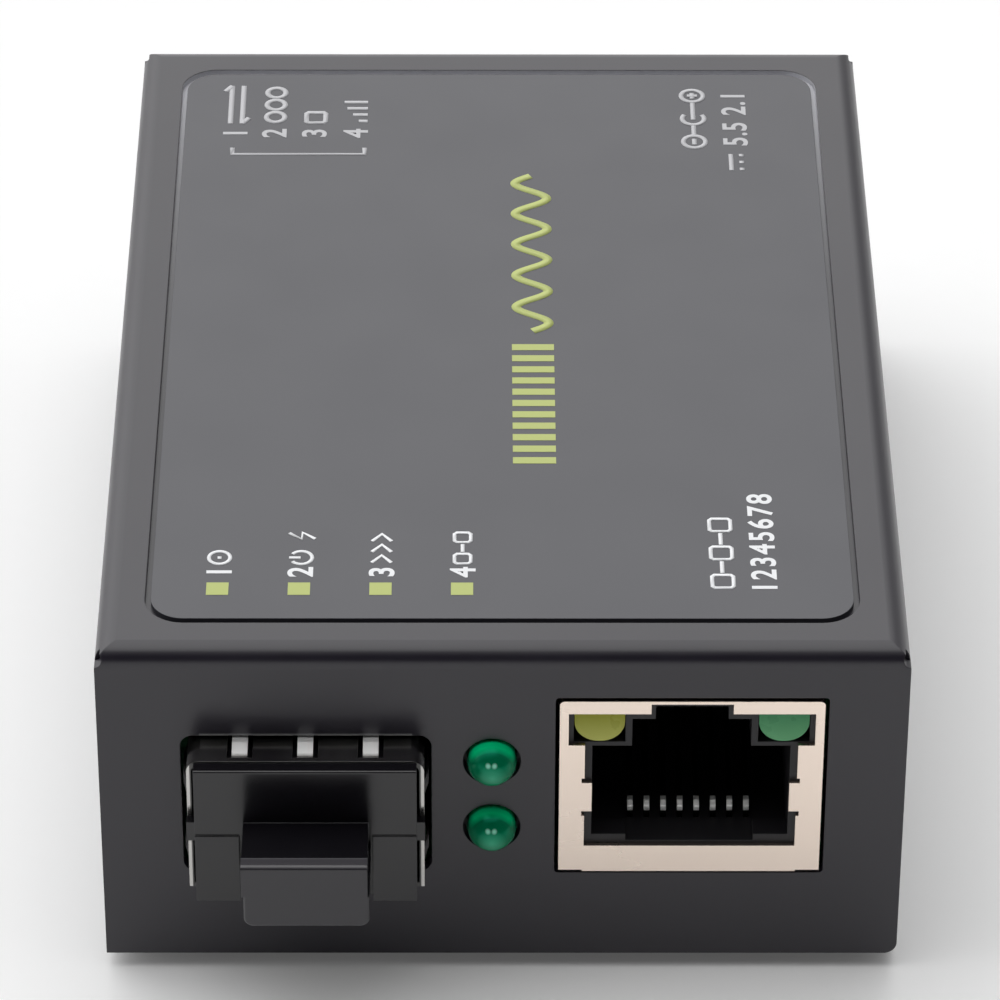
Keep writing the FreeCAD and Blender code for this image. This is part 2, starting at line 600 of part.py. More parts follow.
def leg_hole(x, y, width, depth):
    radius = ((width / 2) ** 2 + (depth / 2) ** 2) ** 0.5 + LEAD_HOLE_GAP
    return Part.makeCylinder(radius, BOARD_THICKNESS * 3, V(x, y, BOARD_BOTTOM_Z - BOARD_THICKNESS), UP)


def cage_leg_points():
    return [(CAGE_X + side * (CAGE_HALF - CAGE_SHEET / 2), CAGE_FRONT_Y + CAGE_LEG_START + i * CAGE_LEG_PITCH)
            for side in (-1, 1) for i in range(CAGE_LEG_COUNT)]


def status_leg_points():
    return [(STATUS_X + side * STATUS_LEAD_OFFSET, y) for y in STATUS_LEG_Y for side in (-1, 1)]


def circuit_board():
    board = box(-BOARD_SIDE_X, BOARD_SIDE_X, PANEL_BACK_Y + BOARD_FRONT_GAP,
                REAR_PANEL_FRONT_Y - BOARD_REAR_GAP, BOARD_BOTTOM_Z, BOARD_TOP_Z)
    deep = BOARD_THICKNESS * 3
    low = BOARD_BOTTOM_Z - BOARD_THICKNESS
    holes = [Part.makeCylinder(SCREW_RADIUS + LEAD_HOLE_GAP, deep, V(x, y, low), UP)
             for x, y in STANDOFF_POINTS]
    holes += [Part.makeCylinder(JACK_PEG_RADIUS + LEAD_HOLE_GAP, deep,
                                V(JACK_X + side * JACK_PEG_OFFSET, JACK_FRONT_Y + JACK_PEG_BACK, low), UP)
              for side in (-1, 1)]
    holes += [leg_hole(x, y, CAGE_SHEET, CAGE_LEG_WIDTH) for x, y in cage_leg_points()]
    holes += [leg_hole(x, y, STATUS_LEAD_SIZE, STATUS_LEAD_SIZE) for x, y in status_leg_points()]
    holes.append(leg_hole(INLET_X, inlet_leg_y(), INLET_LEAF_WIDTH, INLET_LEAF_SHEET))
    return board.cut(holes)


# ---------------------------------------------------------------- fibre module cage
def finger_path(rise):
    """Path of an earthing finger: (distance behind the mouth, height above the sheet's outside)."""
    low = -FINGER_SHEET / 2
    crest = rise - FINGER_SHEET / 2
    return [
        (FINGER_ROOT - FINGER_SLIT, low),
        (FINGER_ROOT, low),
        (CAGE_MOUTH - SHEET / 2, crest),
        (CAGE_MOUTH + SHEET * 1.5, crest),
        (FINGER_TIP_BACK - FINGER_SLIT, low - FINGER_TIP_DROP),
    ]


def roof_finger(x):
    """One finger standing above the roof of the cage, as it leaves the mouth."""
    rise = CAGE_PANEL_GAP - FINGER_PANEL_GAP
    points = [(CAGE_FRONT_Y + back, CAGE_TOP_Z + up) for back, up in finger_path(rise)]
    return strip(points, FINGER_SHEET, x, FINGER_WIDTH)


def turned_finger(angle, across, reach):
    """The roof's finger turned about the cage's long axis to stand on another wall."""
    finger = roof_finger(CAGE_X + across)
    finger.translate(V(0, 0, reach - (CAGE_TOP_Z - CAGE_MIDDLE_Z)))
    finger.rotate(V(CAGE_X, 0, CAGE_MIDDLE_Z), BACKWARD, angle)
    return finger


def finger_window(angle, across, reach):
    """The opening that a finger is cut from."""
    half = FINGER_WIDTH / 2 + FINGER_SLIT
    window = box(CAGE_X + across - half, CAGE_X + across + half, CAGE_FRONT_Y + FINGER_ROOT,
                 CAGE_FRONT_Y + FINGER_TIP_BACK, CAGE_MIDDLE_Z + reach - CAGE_SHEET * 1.5,
                 CAGE_MIDDLE_Z + reach + CAGE_SHEET)
    window.rotate(V(CAGE_X, 0, CAGE_MIDDLE_Z), BACKWARD, angle)
    return window


def roof_finger_seats():
    reach = CAGE_HEIGHT / 2
    return [(0, i * FINGER_PITCH, reach) for i in (-1, 0, 1)]


def side_finger_seats():
    return [(angle, i * SIDE_FINGER_PITCH / 2, CAGE_HALF) for angle in (-90, 90) for i in (-1, 1)]


def floor_finger_seats():
    return [(180, i * FLOOR_FINGER_PITCH / 2, CAGE_HEIGHT / 2) for i in (-1, 1)]


def cage_section(half, bottom, top, corner, y0, y1):
    """A block with its two upper long edges rounded, as the cage's roof is."""
    def upper(middle):
        return middle.z > (bottom + top) / 2

    return rounded(box(CAGE_X - half, CAGE_X + half, y0, y1, bottom, top), 1, corner, upper)


def sfp_cage():
    """Roof, two sides and rear wall folded from one sheet, with its fingers, vents and board legs."""
    outside = cage_section(CAGE_HALF, CAGE_BOTTOM_Z, CAGE_TOP_Z, CAGE_CORNER, CAGE_FRONT_Y, CAGE_REAR_Y)
    inside = cage_section(CAGE_INNER_HALF, CAGE_BOTTOM_Z - CAGE_SHEET, CAGE_TOP_Z - CAGE_SHEET,
                          CAGE_CORNER - CAGE_SHEET, CAGE_FRONT_Y - CAGE_SHEET, CAGE_REAR_Y - CAGE_SHEET)
    cage = outside.cut(inside)
    seats = roof_finger_seats() + side_finger_seats()
    vent_y = CAGE_FRONT_Y + CAGE_VENT_START
    vents = [Part.makeCylinder(CAGE_VENT_RADIUS, CAGE_SHEET * 3,
                               V(CAGE_X + side * FINGER_PITCH, vent_y + i * CAGE_VENT_PITCH,
                                 CAGE_TOP_Z - CAGE_SHEET * 2), UP)
             for side in (-1, 1) for i in range(CAGE_VENT_COUNT)]
    cage = cage.cut([finger_window(*seat) for seat in seats] + vents)
    legs = [box(x - CAGE_SHEET / 2, x + CAGE_SHEET / 2, y - CAGE_LEG_WIDTH / 2, y + CAGE_LEG_WIDTH / 2,
                BOARD_BOTTOM_Z - LEG_BELOW_BOARD, CAGE_BOTTOM_Z + CAGE_SHEET)
            for x, y in cage_leg_points()]
    return cage.fuse([turned_finger(*seat) for seat in seats] + legs).removeSplitter()


def latch_tongue_cuts():
    """Two slits, their end and the three-cornered hole that a module's latch drops into."""
    y0 = CAGE_FRONT_Y + TONGUE_START
    y1 = y0 + TONGUE_LENGTH
    z0 = CAGE_BOTTOM_Z - CAGE_SHEET
    z1 = CAGE_BOTTOM_Z + CAGE_SHEET * 2
    outer = TONGUE_WIDTH / 2 + TONGUE_SLIT
    cuts = [box(CAGE_X - outer, CAGE_X - TONGUE_WIDTH / 2, y0, y1, z0, z1),
            box(CAGE_X + TONGUE_WIDTH / 2, CAGE_X + outer, y0, y1, z0, z1),
            box(CAGE_X - outer, CAGE_X + outer, y0, y0 + TONGUE_SLIT, z0, z1)]
    hole_y = y0 + TONGUE_SLIT * 2.5
    triangle = [(CAGE_X - LATCH_HOLE_WIDTH / 2, hole_y), (CAGE_X + LATCH_HOLE_WIDTH / 2, hole_y),
                (CAGE_X, hole_y + LATCH_HOLE_LENGTH)]
    cuts.append(prism_along_z(triangle, z0, z1))
    return cuts


def sfp_cage_floor():
    """Flat floor between the cage's sides, open at the rear over the edge connector."""
    half = CAGE_INNER_HALF - CAGE_FIT
    top = CAGE_BOTTOM_Z + CAGE_SHEET
    floor = box(CAGE_X - half, CAGE_X + half, CAGE_FRONT_Y, CAGE_REAR_Y - CAGE_SHEET - CAGE_FIT,
                CAGE_BOTTOM_Z, top)
    opening = centred_box(CAGE_X, EDGE_CONNECTOR_WIDTH + CAGE_SHEET * 2,
                          edge_connector_front() - EDGE_LEAD_REACH * 2, CAGE_REAR_Y,
                          CAGE_BOTTOM_Z - CAGE_SHEET, top + CAGE_SHEET)
    seats = floor_finger_seats()
    floor = floor.cut([opening] + latch_tongue_cuts() + [finger_window(*seat) for seat in seats])
    return floor.fuse([turned_finger(*seat) for seat in seats]).removeSplitter()


def edge_connector_front():
    return CAGE_REAR_Y - CAGE_SHEET - EDGE_LEAD_REACH - CAGE_FIT - EDGE_CONNECTOR_DEPTH


def sfp_connector():
    y0 = edge_connector_front()
    y1 = y0 + EDGE_CONNECTOR_DEPTH
    slot_z = BOARD_TOP_Z + EDGE_SLOT_LEVEL
    body = centred_box(CAGE_X, EDGE_CONNECTOR_WIDTH, y0, y1, BOARD_TOP_Z, BOARD_TOP_Z + EDGE_CONNECTOR_HEIGHT)
    lip = EDGE_SLOT_HEIGHT / 4
    low = slot_z - EDGE_SLOT_HEIGHT / 2
    high = slot_z + EDGE_SLOT_HEIGHT / 2
    nose = prism_along_x([(y0, low - lip), (y0, high + lip), (y0 + lip, high), (y0 + lip, low)],
                         CAGE_X - EDGE_SLOT_WIDTH / 2, CAGE_X + EDGE_SLOT_WIDTH / 2)
    slot = centred_box(CAGE_X, EDGE_SLOT_WIDTH, y0 - lip, y0 + EDGE_SLOT_DEPTH, low, high)
    return body.cut([slot, nose])


def sfp_connector_leads():
    """Two rows of flat feet soldered to the board in front of and behind the connector."""
    feet = []
    first = CAGE_X - (EDGE_LEAD_COUNT - 1) * EDGE_LEAD_PITCH / 2
    front = edge_connector_front()
    for i in range(EDGE_LEAD_COUNT):
        x = first + i * EDGE_LEAD_PITCH
        for y in (front - EDGE_LEAD_REACH, front + EDGE_CONNECTOR_DEPTH):
            feet.append(centred_box(x, EDGE_LEAD_SIZE, y, y + EDGE_LEAD_REACH, BOARD_TOP_Z,
                                    BOARD_TOP_Z + EDGE_LEAD_SIZE))
    return Part.Compound(feet)


# ---------------------------------------------------------------- dust plug
def plug_tab(face_y):
    """Block that the plug is pulled by: a lip on top of its front, and a mould mismatch half-way up."""
    top = CAGE_BOTTOM_Z + TAB_TOP
    low = top - TAB_THICKNESS
    lip_top = top + TAB_LIP_HEIGHT
    parting = (low + lip_top) / 2
    tip_y = face_y - TAB_LENGTH
    root_y = face_y + PLUG_FACE / 2
    right = CAGE_X + TAB_PARTING
    lower = centred_box(right, TAB_WIDTH, tip_y, root_y, low, parting)
    lower = rounded(lower, 1, TAB_CORNER, lambda middle: middle.z < parting)
    rim = [edge for edge in lower.Edges
           if edge.CenterOfMass.y < tip_y + TINY and edge.CenterOfMass.z < parting - TINY]
    lower = lower.makeFillet(TAB_EDGE, rim)
    upper = centred_box(CAGE_X, TAB_WIDTH, tip_y, root_y, parting, top)
    lip = centred_box(CAGE_X, TAB_WIDTH, tip_y, tip_y + TAB_LIP_LENGTH, parting, lip_top)
    upper = upper.fuse(lip).removeSplitter()
    rim = [edge for edge in upper.Edges
           if edge.CenterOfMass.y < tip_y + TINY and edge.CenterOfMass.z > lip_top - TINY]
    upper = upper.makeFillet(TAB_LIP_EDGE, rim)
    return lower.fuse(upper).removeSplitter()


def dust_plug():
    """Moulded in one piece: a hollow body in the cage, a face with two cheeks and ears, and a pull tab."""
    seat_y = CAGE_FRONT_Y - PLUG_GAP / 3
    face_y = FRONT_Y - PLUG_FACE_FRONT
    half = CAGE_INNER_HALF - PLUG_GAP
    low = CAGE_BOTTOM_Z + CAGE_SHEET + PLUG_GAP
    high = CAGE_TOP_Z - CAGE_SHEET - PLUG_GAP
    body = cage_section(half, low, high, CAGE_CORNER - CAGE_SHEET, seat_y, CAGE_FRONT_Y + PLUG_DEPTH)
    hollow = box(CAGE_X - half + PLUG_WALL, CAGE_X + half - PLUG_WALL, CAGE_FRONT_Y + PLUG_WALL,
                 CAGE_FRONT_Y + PLUG_DEPTH * 2, low + PLUG_WALL, high - PLUG_WALL)
    body = body.cut(hollow)

    face_low = CAGE_BOTTOM_Z - PLUG_FACE_BELOW
    face_high = CAGE_TOP_Z - PLUG_FACE_TOP_DROP
    face = box(CAGE_X - half, CAGE_X + half, face_y, seat_y, face_low, face_high)
    face = rounded(face, 0, PLUG_EDGE,
                   lambda middle: middle.y < face_y + PLUG_EDGE and middle.z > CAGE_MIDDLE_Z)
    cheek_inner = TAB_WIDTH / 2 + PLUG_TAB_GAP
    channels = [box(CAGE_X + x0, CAGE_X + x1, face_y - PLUG_CHEEK_PROUD, face_y + PLUG_TAB_CHANNEL,
                    face_low, face_low + PLUG_CHEEK_HEIGHT)
                for x0, x1 in ((-cheek_inner, -TAB_WIDTH / 2), (TAB_WIDTH / 2, cheek_inner))]
    face = face.cut(channels)
    cheeks = [box(CAGE_X + x0, CAGE_X + x1, face_y - PLUG_CHEEK_PROUD, seat_y,
                  face_low, face_low + PLUG_CHEEK_HEIGHT)
              for x0, x1 in ((-half, -cheek_inner), (cheek_inner, half))]
    ear_z = CAGE_BOTTOM_Z + PLUG_EAR_LEVEL
    ears = box(CAGE_X - half - PLUG_EAR_REACH, CAGE_X + half + PLUG_EAR_REACH, face_y + PLUG_EDGE, seat_y,
               ear_z - PLUG_EAR_HEIGHT / 2, ear_z + PLUG_EAR_HEIGHT / 2)
    return body.fuse([face, ears, plug_tab(face_y)] + cheeks).removeSplitter()


# ---------------------------------------------------------------- copper network jack
def shell_mouth_outline():
    """Opening in the shell's face: mouth, two lamp windows and the latch notch, above the board."""
    mouth = JACK_MOUTH_WIDTH / 2
    window = JACK_HALF - JACK_WINDOW_INSET
    window_top = JACK_HEIGHT - JACK_WINDOW_TOP
    window_low = window_top - JACK_WINDOW_HEIGHT
    notch = JACK_NOTCH_WIDTH / 2
    notch_top = JACK_HEIGHT - JACK_NOTCH_STRIP
    right = [(mouth, JACK_MOUTH_BOTTOM), (mouth, window_low), (window, window_low), (window, window_top),
             (notch, window_top), (notch, notch_top)]
    left = [(-x, z) for x, z in reversed(right)]
    return [(JACK_X + x, BOARD_TOP_Z + z) for x, z in right + left]


def rj45_shield():
    """Folded shell, open underneath, with an earthing spring at each side of its mouth."""
    outside = rounded(box(JACK_X - JACK_HALF, JACK_X + JACK_HALF, JACK_FRONT_Y, JACK_REAR_Y,
                          BOARD_TOP_Z, JACK_TOP_Z), 1, JACK_SHEET,
                      lambda middle: middle.z > BOARD_TOP_Z + JACK_SHEET)
    inside = box(JACK_X - JACK_HALF + JACK_SHEET, JACK_X + JACK_HALF - JACK_SHEET, JACK_FRONT_Y + JACK_SHEET,
                 JACK_REAR_Y - JACK_SHEET, BOARD_TOP_Z - JACK_SHEET, JACK_TOP_Z - JACK_SHEET)
    mouth = prism_along_y(shell_mouth_outline(), JACK_FRONT_Y - JACK_SHEET, JACK_FRONT_Y + JACK_SHEET * 2)
    shell = outside.cut([inside, mouth])
    low = BOARD_TOP_Z + JACK_SPRING_LOW
    high = low + JACK_SPRING_HEIGHT
    back = JACK_FRONT_Y + JACK_SHEET
    edge = JACK_MOUTH_WIDTH / 2
    lip = centred_box(JACK_X, JACK_WIDTH - 2 * JACK_LIP_INSET, JACK_FRONT_Y, back,
                      BOARD_TOP_Z - JACK_LIP_DROP, BOARD_TOP_Z + JACK_SHEET)
    added = [lip]
    hooks = []
    for side in (-1, 1):
        x = sorted((JACK_X + side * (edge + JACK_SHEET), JACK_X + side * (edge - JACK_SPRING_REACH)))
        added.append(box(x[0], x[1], JACK_FRONT_Y, back, low, high))
        x = sorted((JACK_X + side * (edge - JACK_HOOK_REACH), JACK_X + side * (edge + JACK_HOOK_REACH)))
        for bottom in (low - JACK_HOOK_HEIGHT, high):
            hooks.append(box(x[0], x[1], JACK_FRONT_Y - JACK_SHEET, back, bottom, bottom + JACK_HOOK_HEIGHT))
    return shell.cut(hooks).fuse(added).removeSplitter()


def cavity_outline():
    """Mouth of the plastic insert: full width below, a step between the lamps, the latch notch on top."""
    wide = CAVITY_WIDTH / 2
    step = JACK_HALF - JACK_LAMP_INSET - JACK_LAMP_WIDTH - LAMP_FRAME
    notch = CAVITY_NOTCH_WIDTH / 2
    roof = JACK_HEIGHT - JACK_SHEET - JACK_INNER_GAP - CAVITY_NOTCH_ROOF
    right = [(wide, CAVITY_FLOOR), (wide, CAVITY_TOP), (step, CAVITY_TOP), (step, CAVITY_STEP_TOP),
             (notch, CAVITY_STEP_TOP), (notch, roof)]
    left = [(-x, z) for x, z in reversed(right)]
    return [(JACK_X + x, BOARD_TOP_Z + z) for x, z in right + left]


def jack_lamp_box(side, grow):
    """The space of one lamp beside the latch, grown on its sides by a gap."""
    outer = side * (JACK_HALF - JACK_LAMP_INSET + grow)
    inner = side * (JACK_HALF - JACK_LAMP_INSET - JACK_LAMP_WIDTH - grow)
    x = sorted((JACK_X + outer, JACK_X + inner))
    top = JACK_TOP_Z - JACK_WINDOW_TOP + grow
    front = JACK_FRONT_Y + JACK_LAMP_SET_BACK
    return (x[0], x[1], front, front + JACK_LAMP_DEPTH, top - JACK_LAMP_HEIGHT - grow * 2, top)


def rj45_housing():
    """Plastic insert that fills the shell, with the plug cavity, two lamp pockets and two board pegs."""
    inset = JACK_SHEET + JACK_INNER_GAP
    body = box(JACK_X - JACK_HALF + inset, JACK_X + JACK_HALF - inset, JACK_FRONT_Y + inset,
               JACK_REAR_Y - inset, BOARD_TOP_Z, JACK_TOP_Z - inset)
    front = JACK_FRONT_Y - JACK_SHEET
    cavity = prism_along_y(cavity_outline(), front, JACK_FRONT_Y + CAVITY_DEPTH)
    tools = [cavity]
    for side in (-1, 1):
        x0, x1, _, y1, z0, z1 = jack_lamp_box(side, JACK_INNER_GAP * 2)
        tools.append(box(x0, x1, front, y1 + JACK_INNER_GAP, z0, z1))
    first = JACK_X - (CONTACT_COUNT - 1) * CONTACT_PITCH / 2
    groove = CONTACT_SIZE + JACK_INNER_GAP * 2
    for i in range(CONTACT_COUNT):
        tools.append(centred_box(first + i * CONTACT_PITCH, groove,
                                 JACK_FRONT_Y + CONTACT_BACK - CONTACT_SIZE,
                                 JACK_FRONT_Y + CONTACT_BACK + CONTACT_SIZE,
                                 BOARD_TOP_Z, BOARD_TOP_Z + CAVITY_FLOOR + CONTACT_SIZE))
    wide = CAVITY_WIDTH / 2
    ledge_level = BOARD_TOP_Z + CAVITY_FLOOR
    ledges = [box(JACK_X + x0, JACK_X + x1, JACK_FRONT_Y + inset, JACK_FRONT_Y + LEDGE_DEPTH,
                  ledge_level - JACK_SHEET, ledge_level + LEDGE_HEIGHT)
              for x0, x1 in ((-wide - JACK_SHEET, LEDGE_WIDTH - wide),
                             (wide - LEDGE_WIDTH, wide + JACK_SHEET))]
    pegs = [Part.makeCylinder(JACK_PEG_RADIUS, JACK_PEG_LENGTH + JACK_SHEET,
                              V(JACK_X + side * JACK_PEG_OFFSET, JACK_FRONT_Y + JACK_PEG_BACK,
                                BOARD_TOP_Z + JACK_SHEET), DOWN)
            for side in (-1, 1)]
    return body.cut(tools).fuse(pegs + ledges).removeSplitter()


def rj45_contacts():
    """Sprung wires that rise from the floor near the mouth and lean back into the cavity."""
    wires = []
    first = JACK_X - (CONTACT_COUNT - 1) * CONTACT_PITCH / 2
    y = JACK_FRONT_Y + CONTACT_BACK
    half = CONTACT_SIZE / 2
    path = [(y, BOARD_TOP_Z + half), (y, BOARD_TOP_Z + CONTACT_KNEE - half),
            (y + half, BOARD_TOP_Z + CONTACT_KNEE),
            (JACK_FRONT_Y + CONTACT_END_BACK, BOARD_TOP_Z + CONTACT_END_HEIGHT)]
    for i in range(CONTACT_COUNT):
        wires.append(strip(path, CONTACT_SIZE, first + i * CONTACT_PITCH, CONTACT_SIZE))
    return Part.Compound(wires)


def rj45_lamp(side):
    """Clear lamp beside the latch, with its lower edges rounded."""
    x0, x1, y0, y1, z0, z1 = jack_lamp_box(side, 0)
    return rounded(box(x0, x1, y0, y1, z0, z1), 1, JACK_LAMP_CORNER, lambda middle: middle.z < (z0 + z1) / 2)


# ---------------------------------------------------------------- status lamps
def status_lamp(z):
    dome = Part.makeSphere(STATUS_RADIUS, V(STATUS_X, STATUS_DOME_Y, z))
    barrel = Part.makeCylinder(STATUS_RADIUS, STATUS_BACK_Y - STATUS_DOME_Y,
                               V(STATUS_X, STATUS_DOME_Y, z), BACKWARD)
    rim = Part.makeCylinder(STATUS_RIM_RADIUS, STATUS_RIM_LENGTH, V(STATUS_X, STATUS_BACK_Y, z), FORWARD)
    behind = centred_box(STATUS_X, STATUS_RADIUS * 4, STATUS_DOME_Y, STATUS_DOME_Y + STATUS_RADIUS * 2,
                         z - STATUS_RADIUS * 2, z + STATUS_RADIUS * 2)
    return dome.cut(behind).fuse([barrel, rim]).removeSplitter()


def led_holder():
    top = STATUS_LEVELS[1] + HOLDER_ABOVE
    block = centred_box(STATUS_X, HOLDER_WIDTH, HOLDER_FRONT_Y, HOLDER_BACK_Y, BOARD_TOP_Z, top)
    tools = []
    for z in STATUS_LEVELS:
        rim_y = STATUS_BACK_Y - STATUS_RIM_LENGTH - HOLDER_FIT
        tools.append(Part.makeCylinder(STATUS_RADIUS + HOLDER_FIT, HOLDER_DEPTH * 2,
                                       V(STATUS_X, HOLDER_FRONT_Y - HOLDER_DEPTH / 2, z), BACKWARD))
        tools.append(Part.makeCylinder(STATUS_RIM_RADIUS + HOLDER_FIT, HOLDER_DEPTH * 2,
                                       V(STATUS_X, rim_y, z), BACKWARD))
    return block.cut(tools)


def led_legs():
    """Two wires behind each lamp, bent down through the board."""
    wires = []
    low = BOARD_BOTTOM_Z - LEG_BELOW_BOARD
    half = STATUS_LEAD_SIZE / 2
    for z, y in zip(STATUS_LEVELS, STATUS_LEG_Y):
        for side in (-1, 1):
            path = [(STATUS_BACK_Y + half, z), (y, z), (y, low)]
            x = STATUS_X + side * STATUS_LEAD_OFFSET
            wires.append(strip(path, STATUS_LEAD_SIZE, x, STATUS_LEAD_SIZE))
    return Part.Compound(wires)


# ---------------------------------------------------------------- power inlet
def inlet_leg_y():
    return INLET_FACE_Y - INLET_BORE_DEPTH - INLET_LEAF_WIDTH


def dc_jack_body():
    """Collar with a round crown in front, a slimmer body behind, and the plug's bore."""
    half = INLET_WIDTH / 2
    top = BOARD_TOP_Z + INLET_HEIGHT

    def crown(middle):
        return middle.z > top - INLET_BODY_INSET * 2

    collar = rounded(box(INLET_X - half, INLET_X + half, INLET_FACE_Y - INLET_COLLAR_DEPTH, INLET_FACE_Y,
                         BOARD_TOP_Z, top), 1, INLET_CROWN_RADIUS, crown)
    slim = half - INLET_BODY_INSET
    body = rounded(box(INLET_X - slim, INLET_X + slim, INLET_BACK_Y, INLET_FACE_Y - INLET_COLLAR_DEPTH,
                       BOARD_TOP_Z, top - INLET_BODY_INSET), 1, INLET_CROWN_RADIUS, crown)
    bore = Part.makeCylinder(INLET_BORE_RADIUS, INLET_BORE_DEPTH,
                             V(INLET_X, INLET_FACE_Y, INLET_AXIS_Z), FORWARD)
    shank = Part.makeCylinder(INLET_PIN_SHANK_RADIUS + SCREW_GAP, INLET_DEPTH * 2,
                              V(INLET_X, INLET_FACE_Y, INLET_AXIS_Z), FORWARD)
    leaf_y = inlet_leg_y()
    groove = centred_box(INLET_X, INLET_LEAF_WIDTH + SCREW_GAP * 4, leaf_y - INLET_LEAF_SHEET,
                         INLET_FACE_Y - INLET_BORE_DEPTH + INLET_LEAF_LENGTH + INLET_LEAF_SHEET,
                         BOARD_TOP_Z, INLET_AXIS_Z - INLET_BORE_RADIUS + INLET_LEAF_SHEET * 2)
    return collar.fuse(body).removeSplitter().cut([bore, shank, groove])


def dc_jack_pin():
    """Centre pin: a round-nosed pin in the bore on a thinner shank through the body's rear wall."""
    base_y = INLET_FACE_Y - INLET_BORE_DEPTH
    tip_y = INLET_FACE_Y - INLET_PIN_SET_BACK
    nose = Part.makeSphere(INLET_PIN_RADIUS, V(INLET_X, tip_y - INLET_PIN_RADIUS, INLET_AXIS_Z))
    behind = centred_box(INLET_X, INLET_PIN_RADIUS * 4, tip_y - INLET_PIN_RADIUS * 3,
                         tip_y - INLET_PIN_RADIUS, INLET_AXIS_Z - INLET_PIN_RADIUS * 2,
                         INLET_AXIS_Z + INLET_PIN_RADIUS * 2)
    pin = Part.makeCylinder(INLET_PIN_RADIUS, tip_y - INLET_PIN_RADIUS - base_y,
                            V(INLET_X, base_y, INLET_AXIS_Z), BACKWARD)
    shank = Part.makeCylinder(INLET_PIN_SHANK_RADIUS, INLET_PIN_SHANK_LENGTH,
                              V(INLET_X, base_y, INLET_AXIS_Z), FORWARD)
    return nose.cut(behind).fuse([pin, shank]).removeSplitter()


def dc_jack_leaf():
    """Sprung leaf under the bore that touches the plug's sleeve, with its leg through the board."""
    leg_y = inlet_leg_y()
    level = INLET_AXIS_Z - INLET_BORE_RADIUS - INLET_LEAF_SHEET / 2
    crest_y = INLET_FACE_Y - INLET_BORE_DEPTH + INLET_LEAF_LENGTH
    path = [(leg_y, BOARD_BOTTOM_Z - LEG_BELOW_BOARD), (leg_y, level),
            (crest_y - INLET_LEAF_LENGTH / 3, level), (crest_y, level + INLET_LEAF_CREST)]
    return strip(path, INLET_LEAF_SHEET, INLET_X, INLET_LEAF_WIDTH)


# ---------------------------------------------------------------- mode switches
def lever_x(i):
    return SWITCH_X + (i - (SWITCH_COUNT - 1) / 2) * SWITCH_PITCH


def dip_switch_body():
    """Block with an upright slot for each lever, wider behind its face so that the lever stays in."""
    y0 = SWITCH_FACE_Y - SWITCH_DEPTH
    body = box(SWITCH_X - SWITCH_HALF, SWITCH_X + SWITCH_HALF, y0, SWITCH_FACE_Y,
               BOARD_TOP_Z, BOARD_TOP_Z + SWITCH_HEIGHT)
    tools = []
    for i in range(SWITCH_COUNT):
        slot = (LEVER_TRAVEL + LEVER_HEIGHT) / 2 + LEVER_GAP
        room = (LEVER_TRAVEL + LEVER_SHOE_HEIGHT) / 2 + LEVER_GAP
        tools.append(centred_box(lever_x(i), LEVER_WIDTH + LEVER_GAP * 2, SWITCH_FACE_Y - SWITCH_FACE * 1.5,
                                 SWITCH_FACE_Y + SWITCH_FACE, SWITCH_AXIS_Z - slot, SWITCH_AXIS_Z + slot))
        tools.append(centred_box(lever_x(i), LEVER_SHOE_WIDTH + LEVER_GAP * 2,
                                 SWITCH_FACE_Y - SWITCH_FACE - LEVER_SHOE_DEPTH - LEVER_GAP * 2,
                                 SWITCH_FACE_Y - SWITCH_FACE, SWITCH_AXIS_Z - room, SWITCH_AXIS_Z + room))
    return body.cut(tools)


def dip_lever(i):
    """One lever in its lower position: a nub that a finger or pen moves, on a wider shoe."""
    back = SWITCH_FACE_Y - SWITCH_FACE - LEVER_GAP
    nub = centred_box(lever_x(i), LEVER_WIDTH, back - LEVER_GAP, SWITCH_FACE_Y + LEVER_REACH,
                      LEVER_REST_Z - LEVER_HEIGHT / 2, LEVER_REST_Z + LEVER_HEIGHT / 2)
    nub = rounded(nub, 0, LEVER_HEIGHT / 5, lambda middle: middle.y > SWITCH_FACE_Y)
    shoe = centred_box(lever_x(i), LEVER_SHOE_WIDTH, back - LEVER_SHOE_DEPTH, back,
                       LEVER_REST_Z - LEVER_SHOE_HEIGHT / 2, LEVER_REST_Z + LEVER_SHOE_HEIGHT / 2)
    return nub.fuse(shoe).removeSplitter()


# ---------------------------------------------------------------- parts on the board
def board_part(x, y, size, edge):
    """A moulded block standing on the board, with its top edges chamfered."""
    width, length, height = size
    block = box(x - width / 2, x + width / 2, y - length / 2, y + length / 2,
                BOARD_TOP_Z, BOARD_TOP_Z + height)
    top = [item for item in block.Edges if item.CenterOfMass.z > BOARD_TOP_Z + height * 0.9]
    return block.makeChamfer(edge, top)


def crystal_can(x, y):
    """Oval metal can on a flat base."""
    width, length, height = CRYSTAL_SIZE
    radius = width / 2 - CRYSTAL_RIM
    base = rounded_box(2, width / 2 * 0.98, x - width / 2, x + width / 2, y - length / 2, y + length / 2,
                       BOARD_TOP_Z, BOARD_TOP_Z + CRYSTAL_RIM)
    can = rounded_box(2, radius * 0.98, x - radius, x + radius, y - length / 2 + CRYSTAL_RIM,
                      y + length / 2 - CRYSTAL_RIM, BOARD_TOP_Z + CRYSTAL_RIM, BOARD_TOP_Z + height)
    return base.fuse(can).removeSplitter()


